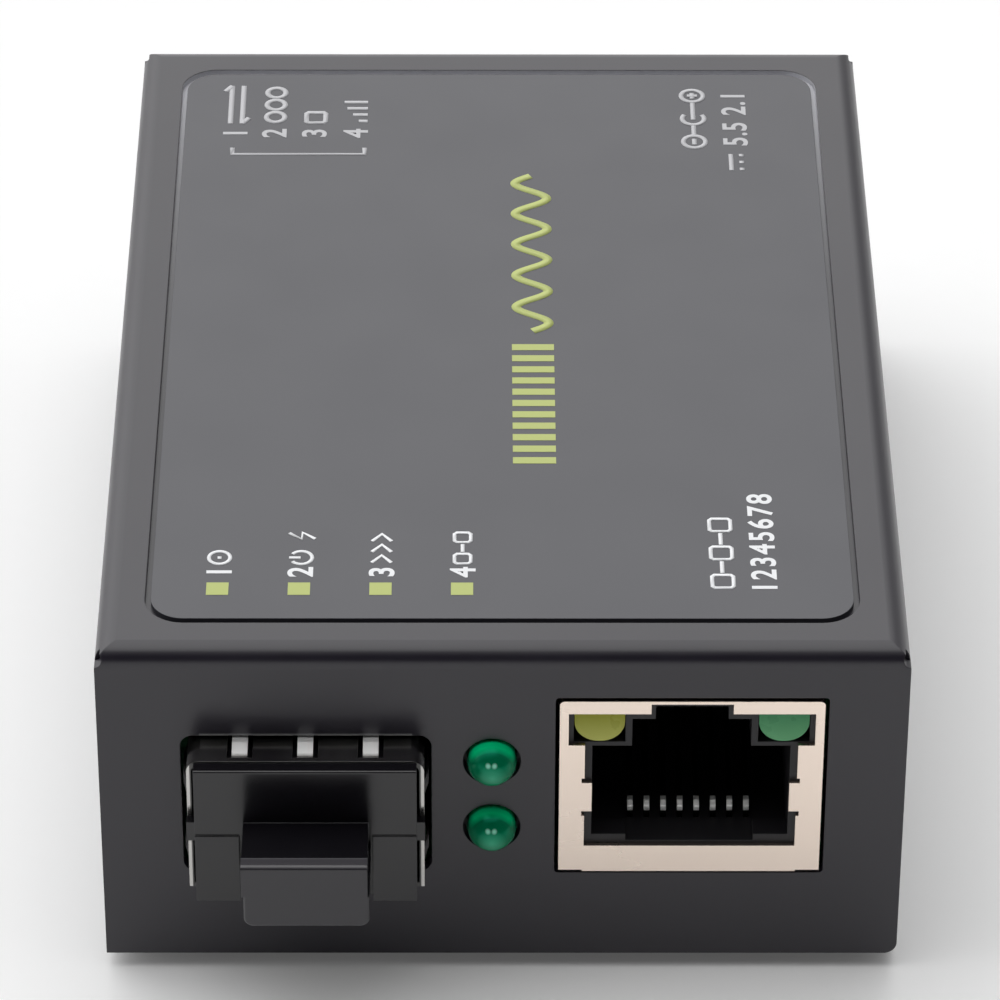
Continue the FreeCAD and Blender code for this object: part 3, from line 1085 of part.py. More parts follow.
def capacitor(x, y):
    """Aluminium can on a square base with two cut corners."""
    half = CAPACITOR_RADIUS
    cut = half / 2
    outline = [(x - half, y - half), (x + half, y - half), (x + half, y + half - cut),
               (x + half - cut, y + half), (x - half + cut, y + half), (x - half, y + half - cut)]
    base = prism_along_z(outline, BOARD_TOP_Z, BOARD_TOP_Z + CAPACITOR_BASE)
    can_radius = CAPACITOR_RADIUS - CAPACITOR_BASE / 4
    can = Part.makeCylinder(can_radius, CAPACITOR_HEIGHT - CAPACITOR_BASE,
                            V(x, y, BOARD_TOP_Z + CAPACITOR_BASE), UP)
    return base.fuse(can).removeSplitter()


def board_parts():
    """Each part stands clear of what is beside it: the jack, the cage, the inlet and the switches."""
    half_gap = PART_GAP / 2
    cage_side = CAGE_X + CAGE_HALF
    magnetics_y = JACK_REAR_Y + half_gap + MAGNETICS_SIZE[1] / 2
    magnetics_x = STANDOFF_POINTS[1][0] - BOARD_SCREW_HEAD_RADIUS - half_gap - MAGNETICS_SIZE[0] / 2
    chip_x = cage_side + PART_GAP + CONVERTER_CHIP_SIZE[0] / 2
    chip_y = magnetics_y + MAGNETICS_SIZE[1] / 2 + half_gap + CONVERTER_CHIP_SIZE[1] / 2
    crystal_x = chip_x + CONVERTER_CHIP_SIZE[0] / 2 + half_gap + CRYSTAL_SIZE[0] / 2
    inductor_x = crystal_x + CRYSTAL_SIZE[0] / 2 + half_gap + INDUCTOR_SIZE[0] / 2
    capacitor_x = cage_side + half_gap + CAPACITOR_RADIUS
    capacitor_y = chip_y + CONVERTER_CHIP_SIZE[1] / 2 + half_gap + CAPACITOR_RADIUS
    memory_y = STANDOFF_POINTS[0][1] + BOARD_SCREW_HEAD_RADIUS + half_gap + MEMORY_CHIP_SIZE[1] / 2
    regulator_x = STANDOFF_POINTS[3][0] - STANDOFF_RADIUS - PART_GAP - REGULATOR_SIZE[0] / 2
    regulator_y = STANDOFF_POINTS[3][1]
    return {
        "magnetics_module": board_part(magnetics_x, magnetics_y, MAGNETICS_SIZE, PACKAGE_EDGE),
        "converter_chip": board_part(chip_x, chip_y, CONVERTER_CHIP_SIZE, PACKAGE_EDGE),
        "memory_chip": board_part(STATUS_X, memory_y, MEMORY_CHIP_SIZE, PACKAGE_EDGE),
        "crystal_can": crystal_can(crystal_x, chip_y),
        "power_inductor": board_part(inductor_x, chip_y, INDUCTOR_SIZE, PACKAGE_EDGE * 2),
        "regulator_chip": board_part(regulator_x, regulator_y, REGULATOR_SIZE, PACKAGE_EDGE),
        "capacitor_left": capacitor(capacitor_x, capacitor_y),
        "capacitor_right": capacitor(capacitor_x + 2 * CAPACITOR_RADIUS + half_gap, capacitor_y),
    }


# ---------------------------------------------------------------- the whole converter
def build():
    os.makedirs("parts", exist_ok=True)
    export("top_cover", top_cover())
    export("label_overlay", label_overlay())
    export("bottom_plate", bottom_plate())
    export("circuit_board", circuit_board())
    for number, (side, y) in enumerate(CASE_SCREW_POINTS, 1):
        export("case_screw_%d" % number, case_screw(side, y))
    for number, (x, y) in enumerate(FOOT_POINTS, 1):
        export("rubber_foot_%d" % number, rubber_foot(x, y))
    for number, (x, y) in enumerate(STANDOFF_POINTS, 1):
        export("standoff_%d" % number, standoff(x, y))
        export("board_screw_%d" % number, board_screw(x, y))
    export("sfp_cage", sfp_cage())
    export("sfp_cage_floor", sfp_cage_floor())
    export("sfp_connector", sfp_connector())
    export("sfp_connector_leads", sfp_connector_leads())
    export("dust_plug", dust_plug())
    export("rj45_shield", rj45_shield())
    export("rj45_housing", rj45_housing())
    export("rj45_contacts", rj45_contacts())
    export("rj45_lamp_left", rj45_lamp(-1))
    export("rj45_lamp_right", rj45_lamp(1))
    export("status_lamp_lower", status_lamp(STATUS_LEVELS[0]))
    export("status_lamp_upper", status_lamp(STATUS_LEVELS[1]))
    export("led_holder", led_holder())
    export("led_legs", led_legs())
    export("dc_jack_body", dc_jack_body())
    export("dc_jack_pin", dc_jack_pin())
    export("dc_jack_leaf", dc_jack_leaf())
    export("dip_switch_body", dip_switch_body())
    for i in range(SWITCH_COUNT):
        export("dip_lever_%d" % (i + 1), dip_lever(i))
    for name, shape in board_parts().items():
        export(name, shape)


build()
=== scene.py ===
# %% [markdown]
# # Dressing a fibre media converter
# The converter is a folded steel box, 49 mm wide, with a caged fibre module slot and a copper network jack.
# Its solids come ready made and packed. This lesson gives every surface its finish, prints the label, adds
# the legs of the chips, and sets up the studio. All lengths are in metres, so a millimetre gets a name.

# %% Load the frame
from math import acos, cos, degrees, pi, radians, sin

import bpy
from mathutils import Matrix, Vector


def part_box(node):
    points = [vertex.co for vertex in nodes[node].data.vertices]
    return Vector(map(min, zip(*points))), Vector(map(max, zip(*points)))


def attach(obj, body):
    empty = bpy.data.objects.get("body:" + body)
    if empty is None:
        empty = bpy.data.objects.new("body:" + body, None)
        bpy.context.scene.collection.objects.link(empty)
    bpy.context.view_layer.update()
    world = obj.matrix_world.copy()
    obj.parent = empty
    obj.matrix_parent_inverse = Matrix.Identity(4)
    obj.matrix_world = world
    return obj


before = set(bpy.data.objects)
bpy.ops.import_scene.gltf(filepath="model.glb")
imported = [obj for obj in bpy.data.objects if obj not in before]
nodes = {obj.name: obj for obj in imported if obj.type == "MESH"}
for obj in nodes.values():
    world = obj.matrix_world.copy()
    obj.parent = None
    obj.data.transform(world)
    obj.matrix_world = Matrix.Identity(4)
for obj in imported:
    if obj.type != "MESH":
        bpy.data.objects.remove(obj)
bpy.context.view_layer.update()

mm = 0.001

# %% [markdown]
# ## A small kit for finishes
# A real finish is never one flat colour. Paint has grain, moulded plastic has spark texture, plated steel
# has faint rolling lines, and all of them shine a little differently from place to place. Each material
# here is built from the same few steps: a pattern in object space, a spread of roughness, and a fine bump.
# The nodes could be laid out by hand in the shader editor, but small functions say the same thing in one
# line each. The first two open a new material and add a node to it.


# %% Materials and nodes
def start_material(name):
    """A new material with its tree and its main shader."""
    material = bpy.data.materials.new(name)
    material.use_nodes = True
    return material, material.node_tree, material.node_tree.nodes["Principled BSDF"]


def add_node(tree, kind, **settings):
    """Adds a node and sets its options and inputs by name."""
    node = tree.nodes.new(kind)
    for key, value in settings.items():
        if hasattr(node, key):
            setattr(node, key, value)
        else:
            node.inputs[key.replace("_", " ")].default_value = value
    return node


print("node kit ready for Blender", bpy.app.version_string)

# %% [markdown]
# ## Patterns
# Grain, clouds of tone and turning marks can all come from one noise texture. Its scale counts lumps, so it
# is one divided by the width of a lump. The pattern could follow an unwrapped surface, but the object's own
# coordinates need no unwrapping and leave no seam at a fold. Every solid keeps its place in its mesh, so
# the pattern stays put when a body moves.


# %% Noise and its range
def object_space(tree, stretch=(1, 1, 1)):
    """Object coordinates in metres, stretched along the axes for patterns with a direction."""
    source = add_node(tree, "ShaderNodeTexCoord")
    mapping = add_node(tree, "ShaderNodeMapping", Scale=stretch)
    tree.links.new(source.outputs["Object"], mapping.inputs["Vector"])
    return mapping.outputs["Vector"]


def noise(tree, vector, grain, detail=3.0):
    """Soft noise whose lumps are about one grain wide."""
    texture = add_node(tree, "ShaderNodeTexNoise", Scale=1 / grain, Detail=detail)
    tree.links.new(vector, texture.inputs["Vector"])
    return texture.outputs["Fac"]


RANGE_SOCKETS = ("From Min", "From Max", "To Min", "To Max")


def spread(tree, value, low, high, start=0.3, end=0.7):
    """Maps a pattern to a range of values."""
    node = add_node(tree, "ShaderNodeMapRange")
    for socket, number in zip(RANGE_SOCKETS, (start, end, low, high)):
        node.inputs[socket].default_value = number
    tree.links.new(value, node.inputs["Value"])
    return node.outputs["Result"]


print("a grain of 0.1 mm has a noise scale of", round(1 / (0.1 * mm)))

# %% [markdown]
# ## Mixing
# Two patterns are combined by multiplying them, and two colours by letting a pattern choose between them.
# The mix node has one set of sockets for numbers and one for colours, so the places of the sockets get
# names.

# %% Blend and multiply
NUMBER_A, NUMBER_B, NUMBER_MIXED = 2, 3, 0
COLOUR_A, COLOUR_B, COLOUR_MIXED = 6, 7, 2


def blend_colours(tree, factor, first, second):
    """Mixes two colours, each given as a value or as another node's output."""
    node = add_node(tree, "ShaderNodeMix", data_type="RGBA")
    tree.links.new(factor, node.inputs["Factor"])
    for socket, colour in ((node.inputs[COLOUR_A], first), (node.inputs[COLOUR_B], second)):
        if isinstance(colour, tuple):
            socket.default_value = (*colour, 1)
        else:
            tree.links.new(colour, socket)
    return node.outputs[COLOUR_MIXED]


def multiply(tree, first, second):
    """Product of two patterns."""
    node = add_node(tree, "ShaderNodeMath", operation="MULTIPLY")
    tree.links.new(first, node.inputs[0])
    tree.links.new(second, node.inputs[1])
    return node.outputs[0]


print("sockets of a colour mix:", COLOUR_A, COLOUR_B, "and its result:", COLOUR_MIXED)

# %% [markdown]
# ## Edges and relief
# No real edge is perfectly sharp, and light catches its rounding. A bevel modifier would change the mesh,
# so the Bevel node rounds only the shading. Where its normal leaves the true one, there is an edge: that
# makes a mask for worn paint as well.

# %% Rounded edges and fine relief
FLAT, ROUND = 0.995, 0.90       # how well the two normals agree on a flat face and on an edge


def soft_edges(tree, radius):
    """Normal that rounds the edges a little, and a mask that is 1 along them."""
    bevel = add_node(tree, "ShaderNodeBevel", samples=4, Radius=radius)
    geometry = add_node(tree, "ShaderNodeNewGeometry")
    dot = add_node(tree, "ShaderNodeVectorMath", operation="DOT_PRODUCT")
    tree.links.new(bevel.outputs["Normal"], dot.inputs[0])
    tree.links.new(geometry.outputs["Normal"], dot.inputs[1])
    return bevel.outputs["Normal"], spread(tree, dot.outputs["Value"], 1, 0, ROUND, FLAT)


def rough_up(tree, shader, height, depth, strength, normal=None):
    """Fine relief on the surface, on top of an optional rounded normal."""
    bump = add_node(tree, "ShaderNodeBump", Distance=depth, Strength=strength)
    tree.links.new(height, bump.inputs["Height"])
    if normal is not None:
        tree.links.new(normal, bump.inputs["Normal"])
    tree.links.new(bump.outputs["Normal"], shader.inputs["Normal"])


print("an edge begins where the two normals turn apart by", round(degrees(acos(FLAT)), 1), "degrees")

# %% [markdown]
# ## One finish
# Nearly all surfaces of the converter follow one recipe, with their own numbers: two close colours in
# clouds, a range of roughness, a fine grain and touched-up edges. One function with good defaults keeps
# every finish below down to two or three lines. A second one puts a finish on the solids, found by the
# start of their names.

# %% The recipe for a finish
WEAR_PATCH = 1.2 * mm           # wear comes in patches of about this width


def finish(name, colour, second, roughness, grain, depth, metallic=0.0, edge=0.08 * mm, worn_and_lit_edge=None, wear_and_light=0.0,
           stretch=(1, 1, 1), strength=0.3, cloud=6 * mm, gloss=1.5):
    """One solid finish: two close colours in clouds, a roughness range, fine grain and soft edges."""
    material, tree, shader = start_material(name)
    place = object_space(tree, stretch)
    clouds = noise(tree, place, cloud)
    grains = noise(tree, place, grain, 2.0)
    tint = blend_colours(tree, clouds, colour, second)
    normal, edges = soft_edges(tree, edge)
    # Lighter edges in patches: real wear on some finishes, a painted highlight on the dust plug.
    if worn_and_lit_edge is not None:
        worn_and_lit = multiply(tree, edges, spread(tree, noise(tree, place, WEAR_PATCH), 0, wear_and_light, 0.35, 0.65))
        tint = blend_colours(tree, worn_and_lit, tint, worn_and_lit_edge)
    tree.links.new(tint, shader.inputs["Base Color"])
    tree.links.new(spread(tree, clouds, *roughness), shader.inputs["Roughness"])
    shader.inputs["Metallic"].default_value = metallic
    shader.inputs["IOR"].default_value = gloss
    rough_up(tree, shader, grains, depth, strength, normal)
    return material


def dress(material, *names):
    """Gives a finish to every solid whose name starts with one of the names."""
    dressed = [n for n in sorted(nodes) if n.startswith(names)]
    for n in dressed:
        nodes[n].data.materials.clear()
        nodes[n].data.materials.append(material)
    print(material.name, "->", ", ".join(dressed))


print("names to dress:", ", ".join(sorted(nodes)))

# %% [markdown]
# ## Another look in one place
# Some places get painted light or painted shade: a lighter lip, a darkened cut edge, a white bend. They
# could be split into more objects, but the solid is given and stays whole. So a mask picks the place out in
# object space: a box with soft walls, whose sides come from the sizes of the solids.


# %% Masks
def box_mask(tree, low, high, soft):
    """1 inside a box in object space, 0 outside, with soft walls. None leaves a side open."""
    split = add_node(tree, "ShaderNodeSeparateXYZ")
    tree.links.new(object_space(tree), split.inputs[0])
    mask = None
    for axis, least, most in zip("XYZ", low, high):
        for limit, below in ((least, 0), (most, 1)):
            if limit is not None:
                side = spread(tree, split.outputs[axis], below, 1 - below, limit - soft, limit + soft)
                mask = side if mask is None else multiply(tree, mask, side)
    return mask


def pick_out(material, mask, colour, roughness):
    """Turns a finish into another colour and roughness where a mask says so."""
    tree = material.node_tree
    shader = tree.nodes["Principled BSDF"]
    tint = shader.inputs["Base Color"].links[0].from_socket
    tree.links.new(blend_colours(tree, mask, tint, colour), shader.inputs["Base Color"])
    dull = add_node(tree, "ShaderNodeMix", data_type="FLOAT")
    tree.links.new(mask, dull.inputs["Factor"])
    tree.links.new(shader.inputs["Roughness"].links[0].from_socket, dull.inputs[NUMBER_A])
    dull.inputs[NUMBER_B].default_value = roughness
    tree.links.new(dull.outputs[NUMBER_MIXED], shader.inputs["Roughness"])


CRISP = 0.02 * mm               # half the width of a crisp mask's soft wall
OPEN = (None, None, None)
print("a crisp mask fades over", round(2 * CRISP / mm, 3), "mm")

# %% [markdown]
# ## The cover's paint
# Cover and bottom plate are powder coated: a nearly black skin with a grain far finer than a millimetre.
# Most of its grey is gloss: the coat mirrors the pale floor and the light behind it, very softly. So the
# colour stays dark and the roughness does the work. A lighter colour would look the same on the top and too
# pale in front. The edges get a touch of rubbing, as powder runs thin there.

# %% Powder coat
cover_paint = finish("cover_paint", (0.0122, 0.0100, 0.0172), (0.0150, 0.0126, 0.0205), (0.29, 0.33),
                     0.09 * mm, 0.006 * mm, edge=0.10 * mm, worn_and_lit_edge=(0.060, 0.060, 0.066), wear_and_light=0.30, gloss=1.6)
plate_paint = finish("plate_paint", (0.016, 0.016, 0.019), (0.022, 0.022, 0.025), (0.36, 0.46), 0.12 * mm,
                     0.012 * mm, worn_and_lit_edge=(0.12, 0.12, 0.125), wear_and_light=0.3, gloss=1.6)
dress(plate_paint, "bottom_plate")

# %% [markdown]
# ## The pocket round the film
# The film lies in a stamped pocket of the cover, and the pocket's gap is a dark line of shade. Towards the
# rear the pocket is painted pale, as painted light over its shaded wall, so the line fades. A mask round the
# film finds the gap, and a ramp along the film, raised to the fourth power, keeps the fade late.

# %% Painted light in the pocket
POCKET = 0.55 * mm              # a little more than the gap between the film and the pocket's wall
POCKET_DEEP, POCKET_PROUD = 0.1 * mm, 0.02 * mm
FADE_START = 6 * mm
film_low, film_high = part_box("label_overlay")


def paint_light_in_pocket(material):
    """Painted light: the pocket round the film grows pale towards the rear."""
    tree = material.node_tree
    pocket_light_mask = box_mask(tree, (film_low.x - POCKET, None, film_low.z - POCKET_DEEP),
                      (film_high.x + POCKET, film_high.y + POCKET, film_high.z + POCKET_PROUD), CRISP)
    split = add_node(tree, "ShaderNodeSeparateXYZ")
    tree.links.new(object_space(tree), split.inputs[0])
    rear = spread(tree, split.outputs["Y"], 0, 1, film_low.y + FADE_START, film_high.y)
    late = multiply(tree, multiply(tree, rear, rear), multiply(tree, rear, rear))
    # Painted light, pale over the pocket's shaded rear wall.
    pick_out(material, multiply(tree, pocket_light_mask, late), (0.60, 0.60, 0.64), 0.5)


paint_light_in_pocket(cover_paint)
print("film:", [round(v / mm, 2) for v in film_high - film_low], "mm")

# %% [markdown]
# ## The opening above the cage
# The module cage stands in an opening of the front. A painted highlight, a fine bright line, runs along the
# upper edge of that opening. Its place follows from the cage: its roof is a known step below the highest
# point of its spring fingers, and the opening is a known gap above the roof.

# %% Painted highlight on the opening's edge
FINGER_RISE = 0.26 * mm         # from the cage's roof up to the top of its fingers
OPENING_GAP = 0.43 * mm         # from the roof up to the opening's edge
LINE_BELOW, LINE_ABOVE = 0.10 * mm, 0.14 * mm
cage_low, cage_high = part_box("sfp_cage")
cage_roof = cage_high.z - FINGER_RISE


def paint_opening_highlight(material):
    """A painted highlight: a fine bright line on the upper edge of the cage's opening."""
    edge = cage_roof + OPENING_GAP
    line = box_mask(material.node_tree, (cage_low.x + mm, None, edge - LINE_BELOW),
                    (cage_high.x - mm, cage_low.y + 4 * mm, edge + LINE_ABOVE), CRISP)
    # Painted highlight along the opening's upper edge.
    pick_out(material, line, (0.16, 0.16, 0.165), 0.35)


paint_opening_highlight(cover_paint)
dress(cover_paint, "top_cover")
print("roof of the cage at", round(cage_roof / mm, 2), "mm")

# %% [markdown]
# ## Film and feet
# The label is a printed polyester film, smooth and a little paler than the paint round it. The feet are
# pressed rubber: dark, dull and coarser than anything else on the case. Both take the common recipe.

# %% Film and rubber
label_film = finish("label_film", (0.045, 0.045, 0.055), (0.049, 0.049, 0.059), (0.34, 0.40), 0.05 * mm,
                    0.003 * mm, edge=0.06 * mm, gloss=1.58)
dress(label_film, "label_overlay")
foot_rubber = finish("foot_rubber", (0.016, 0.016, 0.016), (0.026, 0.026, 0.026), (0.7, 0.85), 0.25 * mm,
                     0.03 * mm, strength=0.5)
dress(foot_rubber, "rubber_foot")

# %% [markdown]
# ## Fasteners and carriers
# Steel screws, turned brass standoffs. The fasteners are small, so their finish is mostly gloss: a metal
# with a narrow spread of roughness. Turning marks on the brass are noise squeezed along the upright axis,
# so that the lumps become rings.

# %% Screws and standoffs
screw_black = finish("screw_black", (0.05, 0.05, 0.052), (0.09, 0.09, 0.092), (0.3, 0.42), 0.2 * mm,
                     0.01 * mm, metallic=1.0, worn_and_lit_edge=(0.5, 0.5, 0.5), wear_and_light=0.6)
dress(screw_black, "case_screw")
screw_zinc = finish("screw_zinc", (0.60, 0.61, 0.62), (0.68, 0.69, 0.70), (0.2, 0.32), 0.2 * mm, 0.008 * mm,
                    metallic=1.0)
dress(screw_zinc, "board_screw")
turned_brass = finish("turned_brass", (0.62, 0.46, 0.20), (0.70, 0.54, 0.26), (0.22, 0.34), 0.3 * mm,
                      0.01 * mm, metallic=1.0, stretch=(0.2, 0.2, 4.0))
dress(turned_brass, "standoff")

# %% [markdown]
# ## The module cage
# The cage is folded from thin nickel-plated steel. Rolled sheet has very long, very fine lines along one
# axis, so the noise is stretched a lot along it. The spring fingers of the cage get a painted highlight: a
# near white, duller metal than the mirror-like roof. They are told from it by where they are: above the
# plane of the roof. The sheet's cut edge round the mouth gets painted shade, the plug's shadow, and only
# its outer rim is left bright.

# %% Cage in plated sheet
CAGE_HALF = 7.175 * mm          # half the cage's width over its flat walls, without the side fingers
UNSHADED_RIM = 0.20 * mm                 # bright outer part of the cut edge
CUT_SHADE_DEEP = 0.04 * mm
cage_middle = (cage_low.x + cage_high.x) / 2


def plated(name, colour, second, roughness, stretch, cloud=3 * mm):
    """Rolled and plated steel with faint lines along one axis."""
    return finish(name, colour, second, roughness, 0.10 * mm, 0.005 * mm, metallic=1.0, edge=0.05 * mm,
                  stretch=stretch, strength=0.2, cloud=cloud)


cage_nickel = plated("cage_nickel", (0.52, 0.51, 0.49), (0.60, 0.59, 0.57), (0.16, 0.26), (1, 0.05, 1))
finger_highlight = box_mask(cage_nickel.node_tree, (None, None, cage_roof + 0.05 * mm), OPEN, 0.03 * mm)
# Painted highlight on the spring fingers.
pick_out(cage_nickel, finger_highlight, (1.0, 1.0, 0.99), 0.62)
cut_edge_shade = box_mask(cage_nickel.node_tree, (cage_middle - CAGE_HALF + UNSHADED_RIM, None, None),
                    (cage_middle + CAGE_HALF - UNSHADED_RIM, cage_low.y + CUT_SHADE_DEEP, cage_roof + 0.01 * mm), CRISP)
# Painted shade on the cut edge, where the plug's shadow falls.
pick_out(cage_nickel, cut_edge_shade, (0.11, 0.11, 0.108), 0.35)
dress(cage_nickel, "sfp_cage")

# %% [markdown]
# ## The jack's shell
# The shell of the network jack is plated the same way, but it stands square to the room and mirrors the
# pale floor, with a warm tone. Its rolling lines run across it, so the noise is stretched along X.

# %% Shell in plated sheet
shell_nickel = plated("shell_nickel", (0.97, 0.82, 0.71), (1.0, 0.86, 0.75), (0.22, 0.30), (0.3, 1, 1),
                      5 * mm)
dress(shell_nickel, "rj45_shield")

# %% [markdown]
# ## The dust plug
# Moulded parts copy the tool that made them: a spark-eroded tool leaves a fine even orange peel. The dust
# plug is deep black with a clear shine. The tab's front and the upper side of its lip are painted greyer as
# painted light, and a fine pale line behind the lip and the lighter edges are painted highlights. Each is a
# mask, and the later one wins.

# %% Plug with painted light on its tab
LIP_LENGTH, LIP_DROP = 0.95 * mm, 3.67 * mm     # the lip along the tab, and below the cage's roof
LIP_HIGHLIGHT, LIP_MARGIN = 0.12 * mm, 0.12 * mm
FACE_DEEP = 0.05 * mm
plug_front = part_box("dust_plug")[0].y
# Its lighter edges are a painted highlight.
plug_black = finish("plug_black", (0.0056, 0.0050, 0.0070), (0.0072, 0.0066, 0.0088), (0.17, 0.23),
                    0.16 * mm, 0.006 * mm, edge=0.08 * mm, worn_and_lit_edge=(0.08, 0.08, 0.084), wear_and_light=0.8, gloss=1.60)


def paint_light_on_tab(material):
    """Painted light: greys the tab's front and its lip, and draws a highlight line behind the lip."""
    tree = material.node_tree
    lip_low = cage_roof - LIP_DROP - LIP_MARGIN
    lip_end = plug_front + LIP_LENGTH
    tab_front_light = box_mask(tree, OPEN, (None, plug_front + FACE_DEEP, None), CRISP)
    pick_out(material, tab_front_light, (0.018, 0.0160, 0.022), 0.22)
    lip_top_light = box_mask(tree, (None, None, lip_low), (None, lip_end + CRISP, lip_low + mm), CRISP)
    pick_out(material, lip_top_light, (0.046, 0.043, 0.050), 0.30)
    line = box_mask(tree, (None, lip_end - LIP_HIGHLIGHT, lip_low), (None, lip_end + CRISP, lip_low + mm), CRISP)
    # Painted highlight: the pale line behind the lip.
    pick_out(material, line, (0.085, 0.082, 0.090), 0.30)


paint_light_on_tab(plug_black)
dress(plug_black, "dust_plug")

# %% [markdown]
# ## Other plastics
# The inserts of the connectors are glass filled and duller than the plug. The body of the mode switches is
# red, so that it is found at once, and its levers are white. All of them take the common recipe.

# %% Moulded parts
jack_plastic = finish("jack_plastic", (0.009, 0.008, 0.0105), (0.012, 0.011, 0.0135), (0.42, 0.52),
                      0.12 * mm, 0.010 * mm)
dress(jack_plastic, "rj45_housing")
connector_black = finish("connector_black", (0.014, 0.014, 0.014), (0.022, 0.022, 0.022), (0.45, 0.6),
                         0.15 * mm, 0.014 * mm)
dress(connector_black, "sfp_connector", "led_holder", "dc_jack_body")
switch_red = finish("switch_red", (0.42, 0.030, 0.022), (0.48, 0.040, 0.030), (0.4, 0.5), 0.15 * mm,
                    0.010 * mm, worn_and_lit_edge=(0.6, 0.2, 0.16), wear_and_light=0.4)
dress(switch_red, "dip_switch_body")
lever_white = finish("lever_white", (0.76, 0.76, 0.73), (0.82, 0.82, 0.79), (0.35, 0.45), 0.15 * mm,
                     0.008 * mm)
dress(lever_white, "dip_lever")

# %% [markdown]
# ## Contacts and leads
# The spring wires of the jack are painted dark as painted shade, and white at their bends as a painted
# highlight.
# The other leads are tin and gold, with the same faint rolling lines as the sheet, but along the wire.

# %% Wires and pins
WIRE_BEND, BEND_BELOW = 2.95 * mm, 0.45 * mm    # height of the bend above the wires' lowest point
BEND_REACH = 0.6 * mm
wire_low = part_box("rj45_contacts")[0]
# Painted shade: the wires' dark colour. Painted highlight: white at the bends.
contact_bright = finish("contact_bright", (0.030, 0.028, 0.024), (0.045, 0.042, 0.036), (0.18, 0.26),
                        0.1 * mm, 0.004 * mm, metallic=1.0, stretch=(1, 0.1, 0.1), edge=0.10 * mm)
bend_highlight = box_mask(contact_bright.node_tree, (None, None, wire_low.z + WIRE_BEND - BEND_BELOW),
                (None, wire_low.y + BEND_REACH, None), 2 * CRISP)
pick_out(contact_bright, bend_highlight, (1.0, 1.0, 0.98), 0.55)
dress(contact_bright, "rj45_contacts")
contact_gold = finish("contact_gold", (0.85, 0.62, 0.26), (0.92, 0.70, 0.34), (0.16, 0.26), 0.1 * mm,
                      0.004 * mm, metallic=1.0, stretch=(1, 0.1, 0.1), edge=0.04 * mm)
dress(contact_gold, "sfp_connector_leads")
lead_tin = finish("lead_tin", (0.66, 0.66, 0.67), (0.76, 0.76, 0.77), (0.2, 0.3), 0.1 * mm, 0.004 * mm,
                  metallic=1.0, edge=0.05 * mm)
dress(lead_tin, "led_legs", "dc_jack_pin", "dc_jack_leaf")

# %% [markdown]
# ## Status lamps
# A lamp is tinted resin. Light goes in, takes the tint, and comes back from the cup inside. So even its
# shine is tinted. The dome's glow is painted light in two places: an arc under its upper rim, where the
# light enters, and a soft spot low in the middle. Two small dots are painted highlights. All are found by
# the distance from an axis through the dome, and the dome is painted lighter below. True glass would need
# many bounces of light and still come out dark in a closed case, so the resin is mostly a tinted surface.


# %% Clear resin
def resin(name, low_colour, high_colour, low, high, clear, roughness, shine):
    """Tinted resin whose colour changes with height as painted light, and whose shine takes a tint too."""
    material, tree, shader = start_material(name)
    place = object_space(tree)
    swirl = noise(tree, place, 1.5 * mm)
    split = add_node(tree, "ShaderNodeSeparateXYZ")
    tree.links.new(place, split.inputs[0])
    height = spread(tree, split.outputs["Z"], 0, 1, low, high)
    tree.links.new(blend_colours(tree, height, low_colour, high_colour), shader.inputs["Base Color"])
    tree.links.new(spread(tree, swirl, *roughness), shader.inputs["Roughness"])
    shader.inputs["Transmission Weight"].default_value = clear
    shader.inputs["IOR"].default_value = 1.5
    shader.inputs["Specular Tint"].default_value = (*shine, 1)
    rough_up(tree, shader, noise(tree, place, 0.5 * mm), 0.001 * mm, 0.2)
    return material


def paint_glow(material, centre, start, end, colour, least=None):
    """Paints light on a ring or a spot round an axis along Y, above a level if one is given."""
    tree = material.node_tree
    away = add_node(tree, "ShaderNodeVectorMath", operation="DISTANCE")
    away.inputs[1].default_value = (centre.x, 0, centre.z)
    tree.links.new(object_space(tree, (1, 0, 1)), away.inputs[0])
    mask = spread(tree, away.outputs["Value"], 0, 1, start, end)
    if least is not None:
        mask = multiply(tree, mask, box_mask(tree, (None, None, least), OPEN, 0.3 * mm))
    pick_out(material, mask, colour, 0.2)


DOME = 1.5 * mm                 # radius of a status lamp; all its glows are shares of it
for lamp in ("status_lamp_lower", "status_lamp_upper"):
    lamp_low, lamp_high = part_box(lamp)
    centre = (lamp_low + lamp_high) / 2
    emerald = resin(lamp.replace("status_lamp", "emerald_resin"), (0.0, 0.24, 0.100), (0.0, 0.15, 0.065),
                    lamp_low.z, lamp_high.z, 0.1, (0.14, 0.22), (0.05, 1.0, 0.6))
    # Painted light: the arc under the rim and the soft spot low in the middle.
    paint_glow(emerald, centre, 0.84 * DOME, 0.96 * DOME, (0.0, 0.80, 0.30), centre.z + 0.45 * DOME)
    paint_glow(emerald, centre - Vector((0, 0, 0.10 * DOME)), 0.60 * DOME, 0.05 * DOME, (0.08, 0.48, 0.28))
    # Painted highlights: two small dots.
    for across in (-0.16, 0.10):
        paint_glow(emerald, centre + Vector((across * DOME, 0, 0.45 * DOME)), 0.13 * DOME, 0.05 * DOME,
             (0.35, 0.85, 0.65))
    dress(emerald, lamp)

# %% [markdown]
# ## Lamps of the jack
# The jack's two lamps are cut off square by its shell. They are painted paler below, as painted light where
# the light leaves them, so their colour changes with height: the same resin, with two colours that lie
# further apart.

# %% Lamps in the jack's corners
lamp_low, lamp_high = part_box("rj45_lamp_left")
# Painted light: each lamp is paler low down.
for lamp, name, pale, deep, shine in (
        ("rj45_lamp_left", "yellow_green_resin", (0.54, 0.56, 0.15), (0.27, 0.28, 0.012), (1.0, 1.0, 0.4)),
        ("rj45_lamp_right", "green_resin", (0.16, 0.44, 0.21), (0.05, 0.24, 0.10), (0.4, 1.0, 0.6))):
    dress(resin(name, pale, deep, lamp_low.z, lamp_high.z, 0.0, (0.25, 0.35), shine), lamp)

